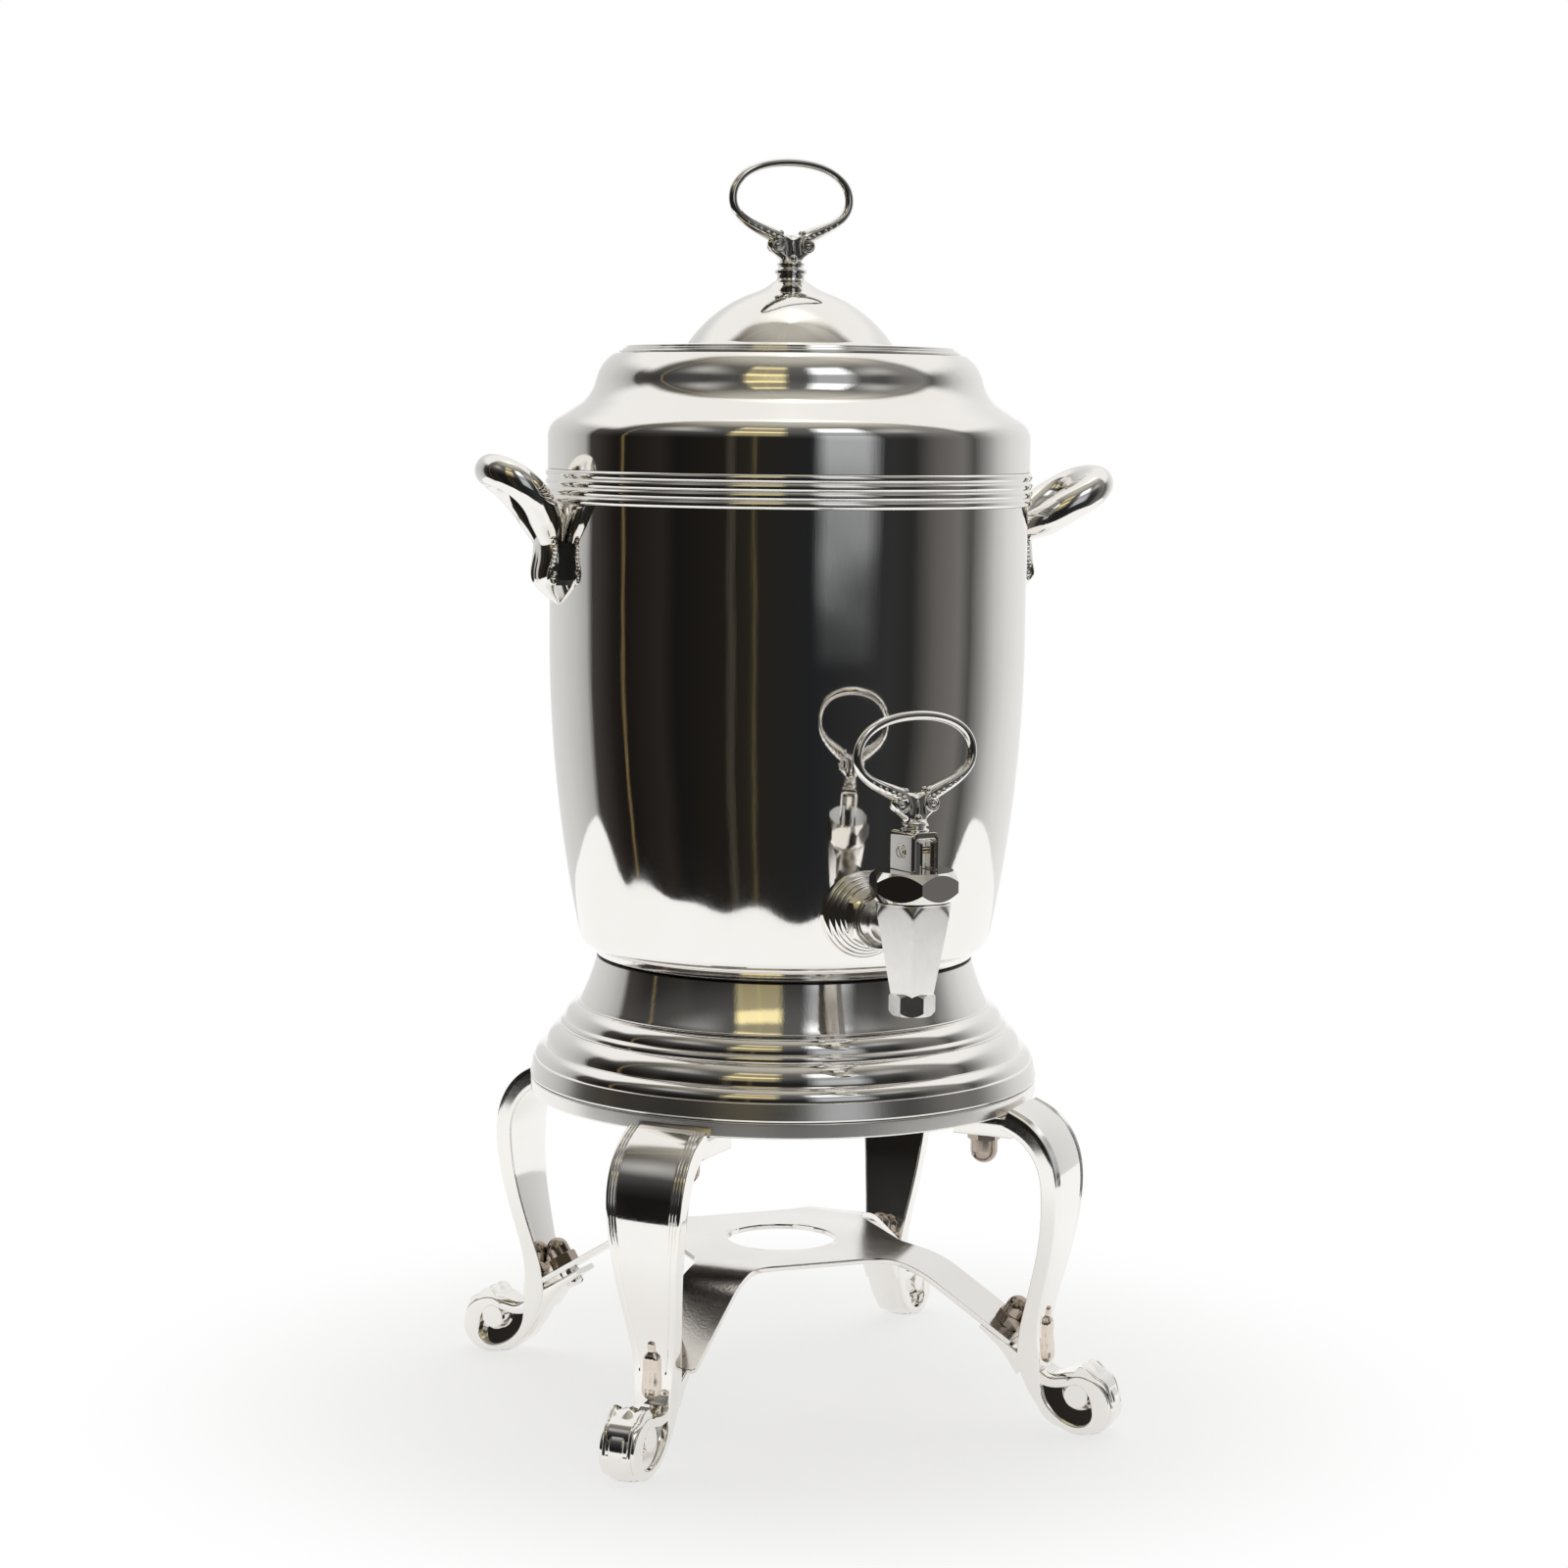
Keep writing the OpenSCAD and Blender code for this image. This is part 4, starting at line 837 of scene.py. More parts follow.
class URN_OT_nuts(bpy.types.Operator):
    """Make the domed nuts under the stand ring and on the tray's arms."""

    bl_idname = "urn.nuts"
    bl_label = "Domed nuts"

    def execute(self, context):
        under, arms = [], []
        bolt_s, slope_s, hang_z = 113.5, 70.62, 134.0
        bolt_z = TRAY_Z - (bolt_s - slope_s) * math.tan(math.radians(ARM_SLOPE))
        for angle in LEGS.values():
            turn = spin("z", angle)
            under += placed(domed_nut(6.1, 10.4), turn @ np.diag([1, 1, -1.0]),
                            turn @ np.array([HANG_S, 0, hang_z]))
            arms += placed(domed_nut(5.4, 9.0), turn @ spin("y", ARM_SLOPE),
                           turn @ np.array([bolt_s, 0, bolt_z]))
        make_piece("ring_dome_nuts", under, "worn_plate", "stand", ["ring_nuts"])
        make_piece("tray_dome_nuts", arms, "worn_plate", "stand", ["tray_nuts"])
        return {"FINISHED"}


# middle line of half a loop above its mount: distance from the axis, across, height
RIGHT_LOOP = [(122.2, 13.0, 405.4), (130.2, 17.2, 410.8), (139.4, 18.4, 416.2), (147.0, 15.4, 420.8),
              (150.8, 8.8, 423.2), (152.0, 0.0, 424.0)]
LEFT_LOOP = [(118.4, 9.6, 407.8), (123.2, 13.0, 415.2), (129.0, 13.8, 421.0), (134.4, 11.6, 425.0),
             (138.2, 6.6, 427.0), (139.6, 0.0, 427.6)]


def handle_bar(loop):
    """Bar of a handle on the +x side: a tube carried up a branch, round the loop and down the other
    branch, its radius falling towards the wall."""
    half = spline([(113.4, 4.4, 393.6), (115.4, 6.6, 400.2)] + loop, 90, 3)
    r = 4.8 + 2.4 * smooth(np.linspace(0, 1, len(half)), 0.0, 0.30)
    leaning = (-0.5, 0, 0.86)
    return wire(mirrored(half, (1, -1, 1)), mirrored(r, 1), leaning, 40)


def handle_leaf():
    """Leaf of the handle's mount: by height, its half width and how far it stands out, with a high-power
    arch across it, a midrib and two flutes as bell curves, and its tip drawn in to the wall."""
    shape = spline([(402.0, 5.0, 4.4), (398.0, 9.4, 5.8), (393.0, 11.6, 6.4), (388.0, 12.2, 6.8),
                    (383.5, 11.9, 7.6), (379.5, 10.4, 7.4), (375.5, 7.4, 5.8), (371.5, 4.1, 3.6),
                    (368.0, 1.2, 1.0)], 90, axes=1)
    z, w, high = shape[:, :1], shape[:, 1:2], shape[:, 2:]
    drop = 4.6 * smooth(z, 378, 367)

    def wall(y):
        return np.sqrt(HANDLE_S ** 2 - y ** 2) - drop
    q = np.linspace(-1, 1, 81)[None]
    arch = np.clip(1 - np.abs(q) ** 3.2, 0, 1) ** 0.5
    flutes = (0.9 * hump(q, 0.10) - 0.45 * hump(np.abs(q) - 0.34, 0.10)) * smooth(z, 396, 386)
    front = wall(w * q) + high * arch + flutes * smooth(z, 368, 372)
    lap = np.linspace(1, -1, 21)[None]
    back = np.stack([wall(w * lap) - 0.2, w * lap, z + 0 * lap], -1)
    grid = np.concatenate([np.stack([front, w * q, z + 0 * q], -1), back[:, 1:-1]], 1)
    return capped(grid), False, True


def handle_stem(m):
    """Roped stem on the flank m of the mount: a wire whose radius swings by a cosine and whose end curls
    into a scroll round a bead."""
    t = np.linspace(0, 1, 160)
    line = spline([(115.2, 399.4), (114.3, 396.0), (114.0, 392.0), (114.6, 388.2), (115.9, 384.9),
                   (116.7, 381.6), (116.1, 378.7), (114.5, 378.0), (113.5, 379.8), (113.9, 382.0),
                   (115.0, 382.2)], len(t))
    s, z = line.T
    across = m * (12.1 - 1.6 * smooth(z, 394, 400) - 1.0 * smooth(z, 382, 377))
    rope = 1.35 + 0.25 * np.cos(2 * np.pi * 15 * t) * (1 - smooth(t, 0.45, 0.6)) - 0.45 * t
    return [wire(np.stack([s, across, z], 1), rope, ACROSS, 14),
            bead((114.9, m * 12.3, 380.6), (1.0, 0.9, 1.0))]


def handle_pad():
    """Pad behind the mount on the +x side: a block with round corners that follows the wall's curve."""
    half, middle_z = 12.2, 386.4
    y = np.linspace(-half, half, 41)[None]
    tall = 9.6 - 2.4 * smooth(np.abs(y), 8.5, half)
    row = np.array([-1, -0.96, -0.6, 0, 0.6, 0.96, 1])[:, None]
    z = middle_z + row * tall
    wall = np.sqrt(BODY_R ** 2 - y ** 2) + 0 * row
    soft = 0.5 * smooth(np.abs(row), 0.9, 1.0)
    front = np.stack([wall + 4.45 - soft, y + 0 * row, z], -1)
    back = np.stack([wall - 0.1, y + 0 * row, z], -1)[::-1]
    return capped(np.concatenate([front, back]).swapaxes(0, 1)), False, True


class URN_OT_handles(bpy.types.Operator):
    """Make the two loop handles on their scrolled mounts, and the pads behind the mounts."""

    bl_idname = "urn.handles"
    bl_label = "Handles"

    def execute(self, context):
        pads = []
        for side, loop, angle in (("right", RIGHT_LOOP, 0), ("left", LEFT_LOOP, 180)):
            handle = [handle_bar(loop), handle_leaf()] + handle_stem(-1) + handle_stem(1)
            make_piece("handle_loop_" + side, placed(handle, spin("z", angle)), "cast_plate", "urn",
                       ["handle_" + side], crease=45)
            pads += placed([handle_pad()], spin("z", angle))
        # the pads' near-black finish paints the shade of the gap behind each mount
        make_piece("handle_fibre_pads", pads, "black_fibre", "urn", ["handle_pads"], "black_fibre")
        return {"FINISHED"}


def ring_half():
    """Half of a finger ring's wire: the middle line of its branch, that line with the bow over it, and the
    radius, which swells towards the foot."""
    wide, mid, top = 29.0, 29.0, 45.4
    branch = cubic((6.4, 0, 11.6), (14.6, 0, 16.0), (wide, 0, mid - 10.5), (wide, 0, mid), 44)
    bow = cubic((wide, 0, mid), (wide, 0, mid + 9.6), (0.62 * wide, 0, top), (0, 0, top), 40)
    line = np.concatenate([branch, bow[1:]])
    return branch, line, 1.95 + 1.35 * (1 - smooth(np.linspace(0, 1, len(line)), 0.0, 0.42))


def ring_plate():
    """Heart-shaped plate under a finger ring: by height, its half width and half depth, with a third-power
    section and a bell-shaped notch in its top edge."""
    rows = spline([(-0.6, 5.6, 5.2), (0.7, 5.0, 4.3), (2.0, 5.2, 3.2), (3.6, 7.2, 2.8), (5.6, 9.8, 2.6),
                   (7.8, 11.4, 2.5), (9.8, 11.6, 2.5), (11.4, 10.4, 2.4), (12.7, 8.4, 2.0),
                   (13.4, 6.0, 1.0)], 70, 1)
    b = turns(64)[None]
    power = 1 / (np.abs(np.cos(b)) ** 3 + np.abs(np.sin(b)) ** 3) ** (1 / 3)
    x, y = rows[:, 1:2] * power * np.cos(b), rows[:, 2:] * power * np.sin(b)
    z = rows[:, :1] - 1.7 * hump(x, 2.2) * smooth(rows[:, :1], 10.0, 13.0)
    return capped(np.stack([x, y, z], -1)), False, True


def ring_ornament(branch, r, m, side):
    """Ornament on the half m of one face of a finger ring: a coil that winds in round an eye, beads that
    shrink along the branch, a ridge from the plate up along the branch, and a knob where the two part."""
    out = np.array([m, side, 1])
    eye_x, eye_z = 7.7, 8.4
    t = np.linspace(0, 1, 120)
    angle, coil = np.radians(60 + 395 * t), 3.8 - 2.0 * t
    curl = np.stack([eye_x + coil * np.cos(angle), 2.4 + 0.4 * t, eye_z + coil * np.sin(angle)], 1)
    k = np.linspace(0, 1, 6)
    at = (2 + 22 * k).astype(int)
    big = sizes().bead_r / MM
    beads = [bead(out * (p[0], d - 0.45, p[2] - 0.9 + 0.5 * q), big * (1.05 - 0.5 * q))
             for p, d, q in zip(branch[at], r[at], k)]
    ridge = np.concatenate([[(3.6, 0, 4.2), (3.3, 0, 7.6), (4.4, 0, 11.2), (6.6, 0, 13.5)],
                            branch[7:34:4] + np.array([0.1, 0, 1.5])])
    ridge = spline(out * (ridge + np.array([0, 2.1, 0])), 90, 3)
    return [wire(out * curl, 0.85 - 0.3 * t, ACROSS, 12),
            bead(out * (eye_x, 2.3, eye_z), (1.35, 1.1, 1.35)), *beads,
            wire(ridge, np.linspace(0.95, 0.35, len(ridge)), ACROSS, 12),
            bead(out * (5.6, 1.4, 13.9), (1.3, 1.4, 1.5))]


def finger_ring():
    """Finger ring in the xz plane, its foot at z = 0: an oval wire on two branches, over a heart-shaped
    plate with ornament on both faces and a drop and a bead in the middle of each."""
    branch, line, r = ring_half()
    out = [wire(mirrored(line, (-1, 1, 1)), mirrored(r, 1), ACROSS, 32), ring_plate()]
    for m in (-1, 1):
        for side in (-1, 1):
            out += ring_ornament(branch, r, m, side)
    for side in (-1, 1):
        out += [bead((0, side * 2.3, 6.6), (1.0, 0.9, 3.9), 16),
                bead((0, side * 3.0, 2.6), (1.7, 1.4, 1.8))]
    return out


class URN_OT_lid_grip(bpy.types.Operator):
    """Make the finger ring on the lid, with its turned neck."""

    bl_idname = "urn.lid_grip"
    bl_label = "Lid ring"

    def execute(self, context):
        z = NECK_Z
        neck = eased((0.02, z - 0.9), (8.6, z - 0.9), (8.4, z - 0.2, 0.3), (6.6, z + 0.9, 0.6),
                     (6.2, z + 1.8, 0.4), (6.2, z + 3.4, 0.4), (7.2, z + 4.0, 0.3), (7.2, z + 5.3, 0.4),
                     (6.2, z + 5.9, 0.3), (5.6, z + 6.8, 0.3), (5.6, z + 7.2, 0.2), (6.3, z + 7.7, 0.25),
                     (6.3, z + 8.4, 0.3), (5.4, z + 9.0, 0.3), (0.02, z + 9.0))
        grip = placed(finger_ring(), spin("z", LID_RING_TURN), (0, 0, GRIP_Z)) + [lathe(neck, 96)]
        make_piece("lid_finger_ring", grip, "cast_plate", "lid", ["lid_knob"], crease=45)
        return {"FINISHED"}


def along_tap(surface):
    """Surface turned about z, laid along the tap's shank: its z runs out of the vessel's wall."""
    return placed([surface], spin("x", 90), (0, -TAP_WALL_Y, TAP_Z))[0]


def make_flange():
    """Reeded flange: five reeds that step inwards, its back face pushed on to the vessel's wall."""
    reeds = [bulge(p, q, 0.62, 8) for p, q in (
        ((19.3, 1.4), (17.7, 3.7)), ((17.6, 3.8), (15.9, 6.0)), ((15.8, 6.1), (14.3, 8.2)),
        ((14.2, 8.3), (12.9, 10.2)), ((12.8, 10.3), (11.8, 11.9)))]
    grid, rows, cols = along_tap(lathe(joined([(8.3, 0), (19.3, 0)], *reeds, [(8.3, 11.95)]), 128, True))
    back = grid[:2]
    back[..., 1] = -np.sqrt(body_r(back[..., 2]) ** 2 - back[..., 0] ** 2) + 0.7
    make_piece("tap_reeded_flange", [(grid, rows, cols)], "cast_plate", "urn", ["tap_flange"], crease=50)


def make_spout():
    """Spout: a hexagon that tapers downwards, its upper corners taken off by a cone through a high-power
    mean of the two radii, on a shorter hexagon turned by half a side, and its shank with a collar."""
    top, foot, bore_top, mean = SPOUT_TOP_Z, SPOUT_Z, 226.5, -90.0
    z = np.concatenate([np.linspace(top, 250.9, 3), np.linspace(250.4, 213.6, 56),
                        [213.0, 212.4, foot]])[:, None]
    a = turns(240)[None]
    t = (z - 212.5) / 39.0
    hexed = hex_radius(a - math.radians(37.5), 8.9 + 7.0 * t)
    cone = 16.4 + 8.5 * (1 - t)
    r = (hexed ** mean + cone ** mean) ** (1 / mean)
    r = r - 0.6 * smooth(z, 250.9, top) - 1.6 * smooth(-z, -213.4, -foot)

    def level(r, z):
        return np.stack([r * np.cos(a), r * np.sin(a) + TAP_Y, z + 0 * a], -1)
    grid = np.concatenate([level(9.0, bore_top), level(9.0, top), level(r, z), level(6.0, foot),
                           level(5.5, 215.6), level(5.5, bore_top)])
    tip = placed([hex_bar(8.5, 9.6, 6.0, 8.45, 0.8, 240)], spin("z", 7.45), (0, TAP_Y, TIP_Z))
    shank = eased((5.6, -17.6), (8.0, -17.6, 0.3), (8.0, 21.2))
    collar = eased((8.0, 21.3), (11.0, 21.3, 0.5), (11.0, 24.3, 1.6), (9.4, 27.3, 1.0), (8.2, 28.6, 2.0),
                   (8.2, 44.0))
    pipe = lathe(joined(shank, collar, [(5.6, 44.0)]), 72, True)
    make_piece("tap_spout", [(grid, True, True), along_tap(pipe)] + tip, "satin_plate", "urn", ["tap_body"],
               crease=16)


def lever_yoke():
    """Yoke of the lever: a fork's outline carried across its depth, each face drawn in a little so that
    its edges catch the light, and closed by joining the outline's two halves."""
    fork = eased((6.7, 0, 0.4), (6.7, 16.5, 2.6), (-6.7, 16.5, 2.6), (-6.7, 0, 0.4), (-4.9, 0, 0.3),
                 (-4.9, 13.6, 1.4), (4.9, 13.6, 1.4), (4.9, 0, 0.3), closed=True, step=15)
    y = np.array([-9.0, -8.9, -8.6, -7.6, 7.6, 8.6, 8.9, 9.0])[:, None]
    draw = np.array([0.5, 0.25, 0.06, 0, 0, 0.06, 0.25, 0.5])[:, None, None]
    shift = inward(np.concatenate([fork[-1:], fork, fork[:1]]), 1.0)[1:-1] - fork
    outline = fork + shift * draw
    loops = np.stack([outline[..., 0], y + 0 * outline[..., 0], outline[..., 1] + YOKE_Z], -1)
    half = np.arange(len(fork) // 2 + 1)
    faces = [np.stack([loop[half], loop[-half]]) for loop in (loops[0], loops[-1])]
    return [(loops, False, True)] + [(face, False, False) for face in faces]


def lever_screw():
    """Pivot screw through the yoke: a domed head with a slot, a rim round it and the pin."""
    edge = eased((0.02, 0.62), (2.1, 0.56, 0.3), (2.45, 0.1, 0.2), (2.45, -0.8))
    head = lathe(np.concatenate([np.linspace(0.02, 2.0, 22)[:, None] * [1, 0] + [0, 0.62], edge[2:]]), 96)
    slot = smooth(-np.abs(head[0][..., 1]), -0.48, -0.36) * (head[0][..., 2] > 0)
    head[0][..., 2] -= 0.7 * slot
    rim = eased((2.7, -0.3), (2.7, 0.42, 0.12), (3.4, 0.42, 0.15), (3.4, -0.3))
    pin = joined([(1.6, -0.5), (1.6, -13.0), (0.02, -13.0)])
    parts = placed([head], spin("z", 35)) + [lathe(rim, 48), lathe(pin, 32)]
    return placed(parts, spin("y", -90), (-6.7, 0, PIVOT_Z))


def make_lever():
    """Lever: finger ring on a turned neck, yoke and pivot screw, turned about the stem together."""
    z = LEVER_NECK_Z
    neck = eased((0.02, z), (6.2, z), (6.0, z + 0.9, 0.4), (4.9, z + 1.6, 0.3), (4.7, z + 2.4, 0.3),
                 (5.5, z + 3.0, 0.25), (5.5, z + 3.6, 0.25), (4.6, z + 4.2, 0.2), (0.02, z + 4.2))
    ring_part = placed(finger_ring(), move=(0, 0, LEVER_RING_Z)) + [lathe(neck, 72)]
    for name, surfaces, nodes, crease in (("tap_lever_ring", ring_part, ["tap_lever"], 45),
                                          ("tap_lever_yoke", lever_yoke(), [], 30),
                                          ("tap_pivot_screw", lever_screw(), ["lever_pivot"], 32)):
        turned = placed(surfaces, spin("z", LEVER_TURN), (0, TAP_Y, 0))
        make_piece(name, turned, "cast_plate", "lever", nodes, crease=crease)


class URN_OT_tap(bpy.types.Operator):
    """Make the tap: reeded flange, union nut, spout, bonnet, yoke with its pivot screw, and ring."""

    bl_idname = "urn.tap"
    bl_label = "Tap"

    def execute(self, context):
        make_flange()
        nut = placed([hex_bar(12.5, 9.0, 8.0, 12.5, 1.3)], move=(0, 0, 12.1))
        make_piece("tap_shank_nut", [along_tap(nut[0])], "cast_plate", "urn", ["tap_union_nut"])
        make_spout()
        bonnet = placed([hex_bar(17.15, 12.6, 3.1, 16.6, 0.80, 240)], spin("z", BONNET_TURN),
                        (0, TAP_Y, BONNET_Z))
        make_piece("tap_bonnet_nut", bonnet, "cast_plate", "urn", ["tap_bonnet"], crease=14)
        make_lever()
        return {"FINISHED"}


class URN_OT_small_parts(bpy.types.Operator):
    """Give the small solids that are kept as they are their finishes."""

    bl_idname = "urn.small_parts"
    bl_label = "Small parts"

    def execute(self, context):
        looks = {"bonnet_gasket": "black_fibre", "tap_washer": "moulded_rubber",
                 "seat_washer": "moulded_rubber", "tap_spring": "drawn_wire"}
        for name in ("ring_screws", "tray_spacers", "tray_bolts", "handle_screws", "lid_knob_nut",
                     "tap_lock_nut", "tap_stem"):
            looks[name] = "cast_plate"
        for name, look in looks.items():
            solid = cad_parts[name]
            solid.data.materials.clear()
            solid.data.materials.append(finish(look))
        return {"FINISHED"}


# Stage

# level way from the object towards the camera, and the way to the camera's right
VIEW = np.array([-0.3471, -0.9378])
ASIDE = np.array([-VIEW[1], VIEW[0]])
CAMERA_AT, CAMERA_TURN, CAMERA_TILT, CAMERA_ROLL = (-0.5369, -1.4484, 0.4542), -20.31, 83.72, 0.575
LENS, SENSOR = 77.61, 36.0


def floor_white():
    """Floor's finish: matt white with a faint grain that turns to plain white away from the object."""
    material = bpy.data.materials.new("floor_white")
    n = Nodes(material)
    place = n.add("TexCoord").outputs["Object"]
    far = n.calc("LENGTH", place, kind="VectorMath")
    fade = n.between(far, 0.14, 0.34, To_Min=0.68, To_Max=1.0)
    speck = n.add("TexNoise", Vector=place, Scale=300.0, Detail=2.0)
    tint = n.add("MixRGB", _0=speck.outputs["Fac"], _1=rgba(colours().floor),
                 _2=rgba([0.985 * c for c in colours().floor]))
    matt = n.add("BsdfDiffuse", Color=tint.outputs[0])
    white = n.add("Emission", Color=(1, 1, 1, 1), Strength=1.0)
    mix = n.add("MixShader", _0=fade, _1=matt.outputs[0], _2=white.outputs[0])
    n.add("OutputMaterial", Surface=mix.outputs[0])
    return material


def lay_floor():
    """Round pale sheet on the floor whose edge wanders a little, by two sines; it fades to white away from
    the object, so only the shadow shows."""
    a = turns(180)
    way = np.stack([np.cos(a), np.sin(a)], 1)
    bearing = np.degrees(np.arctan2(way @ ASIDE, way @ VIEW))
    front_r, wider_aside, wider_behind = 540, 190, 420
    edge = (front_r + wider_aside * smooth(np.abs(bearing + 4), 22, 80)
            + 16 * np.sin(5 * a + 0.7) + 10 * np.sin(11 * a)
            + wider_behind * smooth(np.abs(bearing), 86, 108))
    k = np.linspace(1, 0, 12)[:, None]
    grid = np.stack([k * edge * np.cos(a), k * edge * np.sin(a), 0 * k * a], -1)
    mesh = grid_mesh("floor_sheet", [(grid, False, True)])
    close_seams(mesh)
    mesh.materials.append(floor_white())
    sheet = in_scene("floor_sheet", mesh)


# Room light: stops of grey or colour over the bearing in degrees, or over the height from -1 to 1

DARK, STRIP = (0.009, 0.008, 0.0075), (0.50, 0.36, 0.15)
WALLS = [
    (-180, 0.85), (-166, 0.74), (-136, 0.64), (-122, 0.54), (-111.6, 0.40), (-107, (0.05, 0.045, 0.042)),
    (-92, (0.017, 0.014, 0.0125)), (-85.5, DARK), (-85.0, STRIP), (-84.7, STRIP), (-84.2, DARK),
    (-62, (0.020, 0.017, 0.015)), (-54, DARK), (-29, (0.014, 0.012, 0.010)), (-27.5, (0.05, 0.045, 0.036)),
    (-25.5, (0.05, 0.042, 0.030)), (-24, (0.016, 0.014, 0.012)), (-17, (0.020, 0.018, 0.014)),
    (-15.5, (0.085, 0.066, 0.034)), (-14, (0.018, 0.016, 0.013)), (12, (0.015, 0.016, 0.018)),
    (50, (0.030, 0.030, 0.031)), (61, (0.024, 0.024, 0.024)), (74, (0.115, 0.11, 0.105)),
    (89, (0.165, 0.16, 0.155)), (97, (0.08, 0.078, 0.075)), (107, 0.28), (117, 0.54), (129, 0.71),
    (144, 0.80), (166, 0.85), (180, 0.85)]
GAP = [(0.10, 0.0), (0.30, 0.018), (0.55, 0.075), (0.80, (0.12, 0.115, 0.104)), (0.88, (0.26, 0.25, 0.22)),
       (0.97, (0.46, 0.445, 0.395))]
GOLD_SPREAD = [(-31, 0.0), (-27, (0.88, 0.75, 0.36)), (-4, (0.86, 0.74, 0.37)), (0, 0.0)]
GOLD_HEIGHTS = [(0.24, 0.0), (0.34, 0.30), (0.50, 0.34), (0.52, 1.1), (0.58, 1.1), (0.60, 0.24),
                (0.74, 0.2), (0.76, 0.75), (0.81, 0.75), (0.84, 0.0)]
COOL_SPREAD = [(11, 0.0), (18, (0.93, 0.97, 1.0)), (36, (0.93, 0.97, 1.0)), (45, 0.0)]
COOL_HEIGHTS = [(-0.10, 0.0), (-0.055, 0.05), (-0.01, 0.42), (0.30, 0.50), (0.40, 0.30), (0.56, 0.34),
                (0.62, 1.2), (0.78, 1.2), (0.84, 0.0)]


def light_room():
    """Room light by direction: a colour ramp over the bearing, from a dark studio in front with thin
    warm strips to white sheets at the sides; a white sheet overhead and behind, fainter ones at the
    sides of the front; a grey gap between them with a gold and a white lamp. Behind the object the plate
    shows the same white background as the camera."""
    world = bpy.data.worlds.new("studio")
    bpy.context.scene.world = world
    n = Nodes(world)
    way = n.add("TexCoord").outputs["Generated"]
    ahead, aside = (n.calc("DOT_PRODUCT", way, (to[0], to[1], 0), kind="VectorMath")
                    for to in (VIEW, ASIDE))
    height = n.add("SeparateXYZ", _0=way).outputs["Z"]
    bearing = n.calc("ARCTAN2", aside, ahead)
    turn = n.calc("MULTIPLY_ADD", bearing, 0.5 / math.pi, 0.5)
    level = n.calc("MULTIPLY_ADD", height, 0.5, 0.5)

    def ramp(value, stops, reach):
        return steps(n.add("ValToRGB", _0=value), [((p + reach) / (2 * reach), c) for p, c in stops])

    def by_colour(operation, a, b):
        return n.calc(operation, a, b, kind="VectorMath")
    gap = by_colour("MULTIPLY", ramp(level, GAP, 1), n.between(ahead, -0.55, -0.20))
    front = by_colour("ADD", ramp(turn, WALLS, 180), gap)
    for spread, heights in ((GOLD_SPREAD, GOLD_HEIGHTS), (COOL_SPREAD, COOL_HEIGHTS)):
        lamp = by_colour("MULTIPLY", ramp(turn, spread, 180), ramp(level, heights, 1))
        front = by_colour("ADD", front, lamp)
    wide = n.calc("ABSOLUTE", aside)
    fore = n.calc("MULTIPLY", n.between(wide, 0.42, 0.72), n.between(height, 0.46, 0.70))
    fore = n.calc("MULTIPLY", n.calc("MULTIPLY", fore, n.between(ahead, 0.10, 0.40)), 0.5)
    bay = n.add("MapRange", Value=wide, From_Min=0.0, From_Max=0.55, To_Min=0.26, To_Max=0.0).outputs[0]
    past = n.calc("ADD", ahead, bay)
    over = n.calc("MULTIPLY", n.between(past, -0.02, -0.20), n.between(height, 0.38, 0.60))
    room = n.add("MixRGB", _0=n.calc("MAXIMUM", fore, over), _1=front, _2=(0.93, 0.925, 0.915, 1.0))
    lit = n.add("Background", Color=room.outputs[0], Strength=1.0)
    white = n.add("Background", Color=(1, 1, 1, 1), Strength=1.0)
    ray = n.add("LightPath").outputs
    shiny = n.calc("MAXIMUM", ray["Is Glossy Ray"], ray["Is Transmission Ray"])
    behind = n.calc("MULTIPLY", shiny, n.between(ahead, -0.955, -0.985))
    seen = n.calc("MAXIMUM", ray["Is Camera Ray"], behind)
    mix = n.add("MixShader", _0=seen, _1=lit.outputs[0], _2=white.outputs[0])
    n.add("OutputWorld", Surface=mix.outputs[0])


def hang_lamp():
    """One large soft lamp overhead, for the shadow under the feet."""
    data = bpy.data.lights.new("overhead", "AREA")
    data.shape, data.size, data.energy = "DISK", 1.5, 5.0
    lamp = in_scene("overhead", data)
    lamp.location = (0.15, 0.1, 1.6)
    lamp.visible_glossy = False


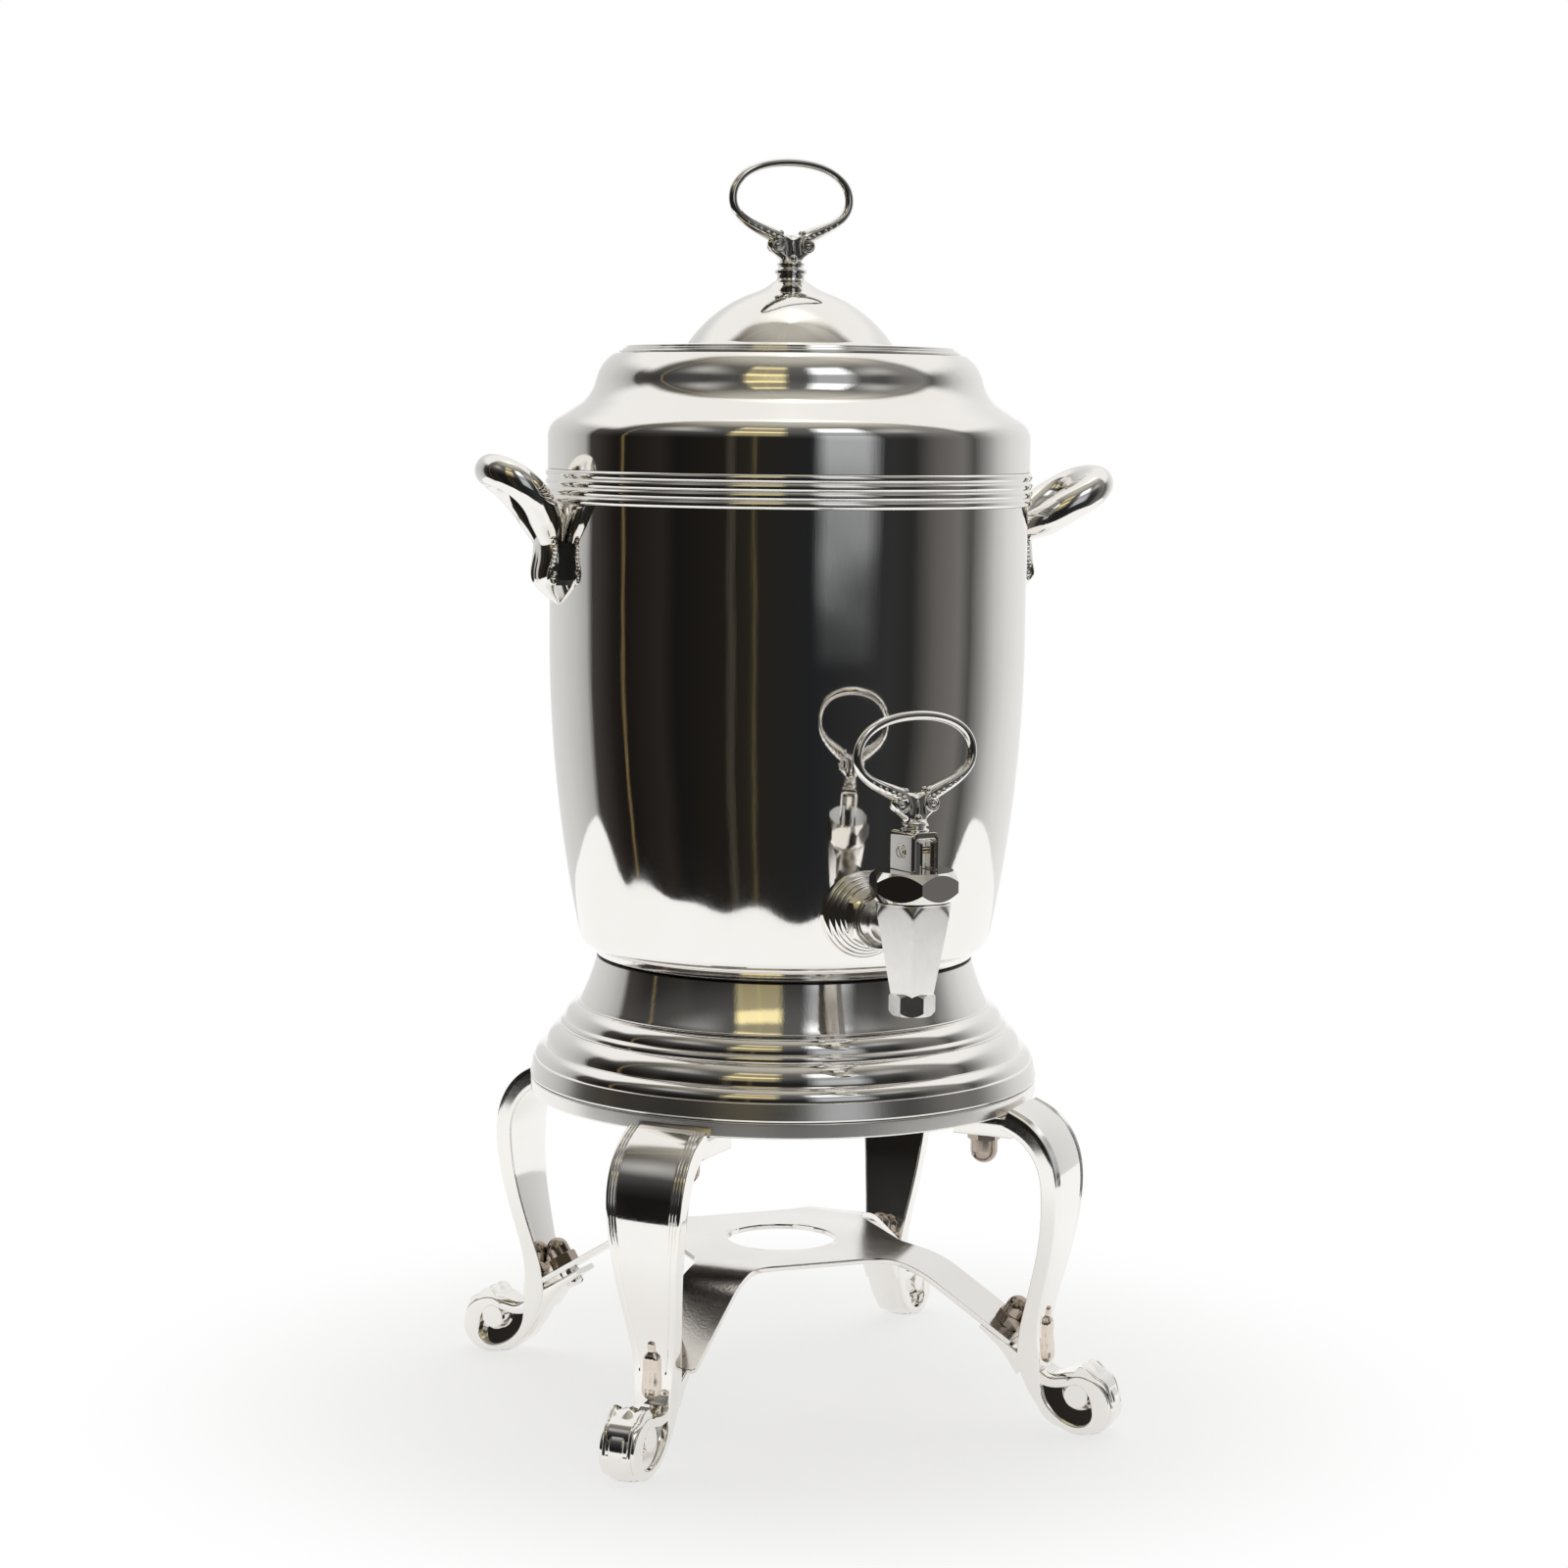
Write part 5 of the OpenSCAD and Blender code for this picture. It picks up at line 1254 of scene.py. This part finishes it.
def set_camera():
    """Camera fitted to the circles of the object in the photograph."""
    data = bpy.data.cameras.new("camera")
    data.lens, data.sensor_width = LENS, SENSOR
    data.clip_start = 0.05
    camera = in_scene("camera", data)
    matrix = np.eye(4)
    matrix[:3, :3] = spin("z", CAMERA_TURN) @ spin("x", CAMERA_TILT) @ spin("z", CAMERA_ROLL)
    matrix[:3, 3] = CAMERA_AT
    camera.matrix_world = mathutils.Matrix(matrix.tolist())
    bpy.context.scene.camera = camera
    bpy.context.scene.view_settings.view_transform = "Standard"


class URN_OT_stage(bpy.types.Operator):
    """Make the floor, the room's soft light and the camera."""

    bl_idname = "urn.stage"
    bl_label = "Stage"

    def execute(self, context):
        lay_floor()
        light_room()
        hang_lamp()
        set_camera()
        return {"FINISHED"}


OPERATORS = (URN_OT_vessel, URN_OT_lid, URN_OT_base, URN_OT_legs, URN_OT_tray, URN_OT_nuts, URN_OT_handles,
             URN_OT_lid_grip, URN_OT_tap, URN_OT_small_parts, URN_OT_stage)


class URN_PT_sidebar(bpy.types.Panel):
    """Lists the steps that build the urn, with its sizes and colours."""

    bl_idname = "URN_PT_sidebar"
    bl_label = "Hot-drink urn"
    bl_space_type = "VIEW_3D"
    bl_region_type = "UI"
    bl_category = "Urn"

    def draw(self, context):
        for group in (context.scene.urn_sizes, context.scene.urn_finishes):
            for name in group.__annotations__:
                self.layout.prop(group, name)
        for step in OPERATORS:
            self.layout.operator(step.bl_idname)


CLASSES = (UrnSizes, UrnFinishes) + OPERATORS + (URN_PT_sidebar,)


def register():
    """Registers the classes and hangs the sizes and colours on the scene."""
    for cls in CLASSES:
        bpy.utils.register_class(cls)
    bpy.types.Scene.urn_sizes = bpy.props.PointerProperty(type=UrnSizes)
    bpy.types.Scene.urn_finishes = bpy.props.PointerProperty(type=UrnFinishes)


def unregister():
    """Takes back what register did."""
    del bpy.types.Scene.urn_finishes
    del bpy.types.Scene.urn_sizes
    for cls in reversed(CLASSES):
        bpy.utils.unregister_class(cls)


def main():
    """Runs every step in order."""
    register()
    for step in OPERATORS:
        group, name = step.bl_idname.split(".")
        getattr(getattr(bpy.ops, group), name)()


if __name__ == "__main__":
    main()
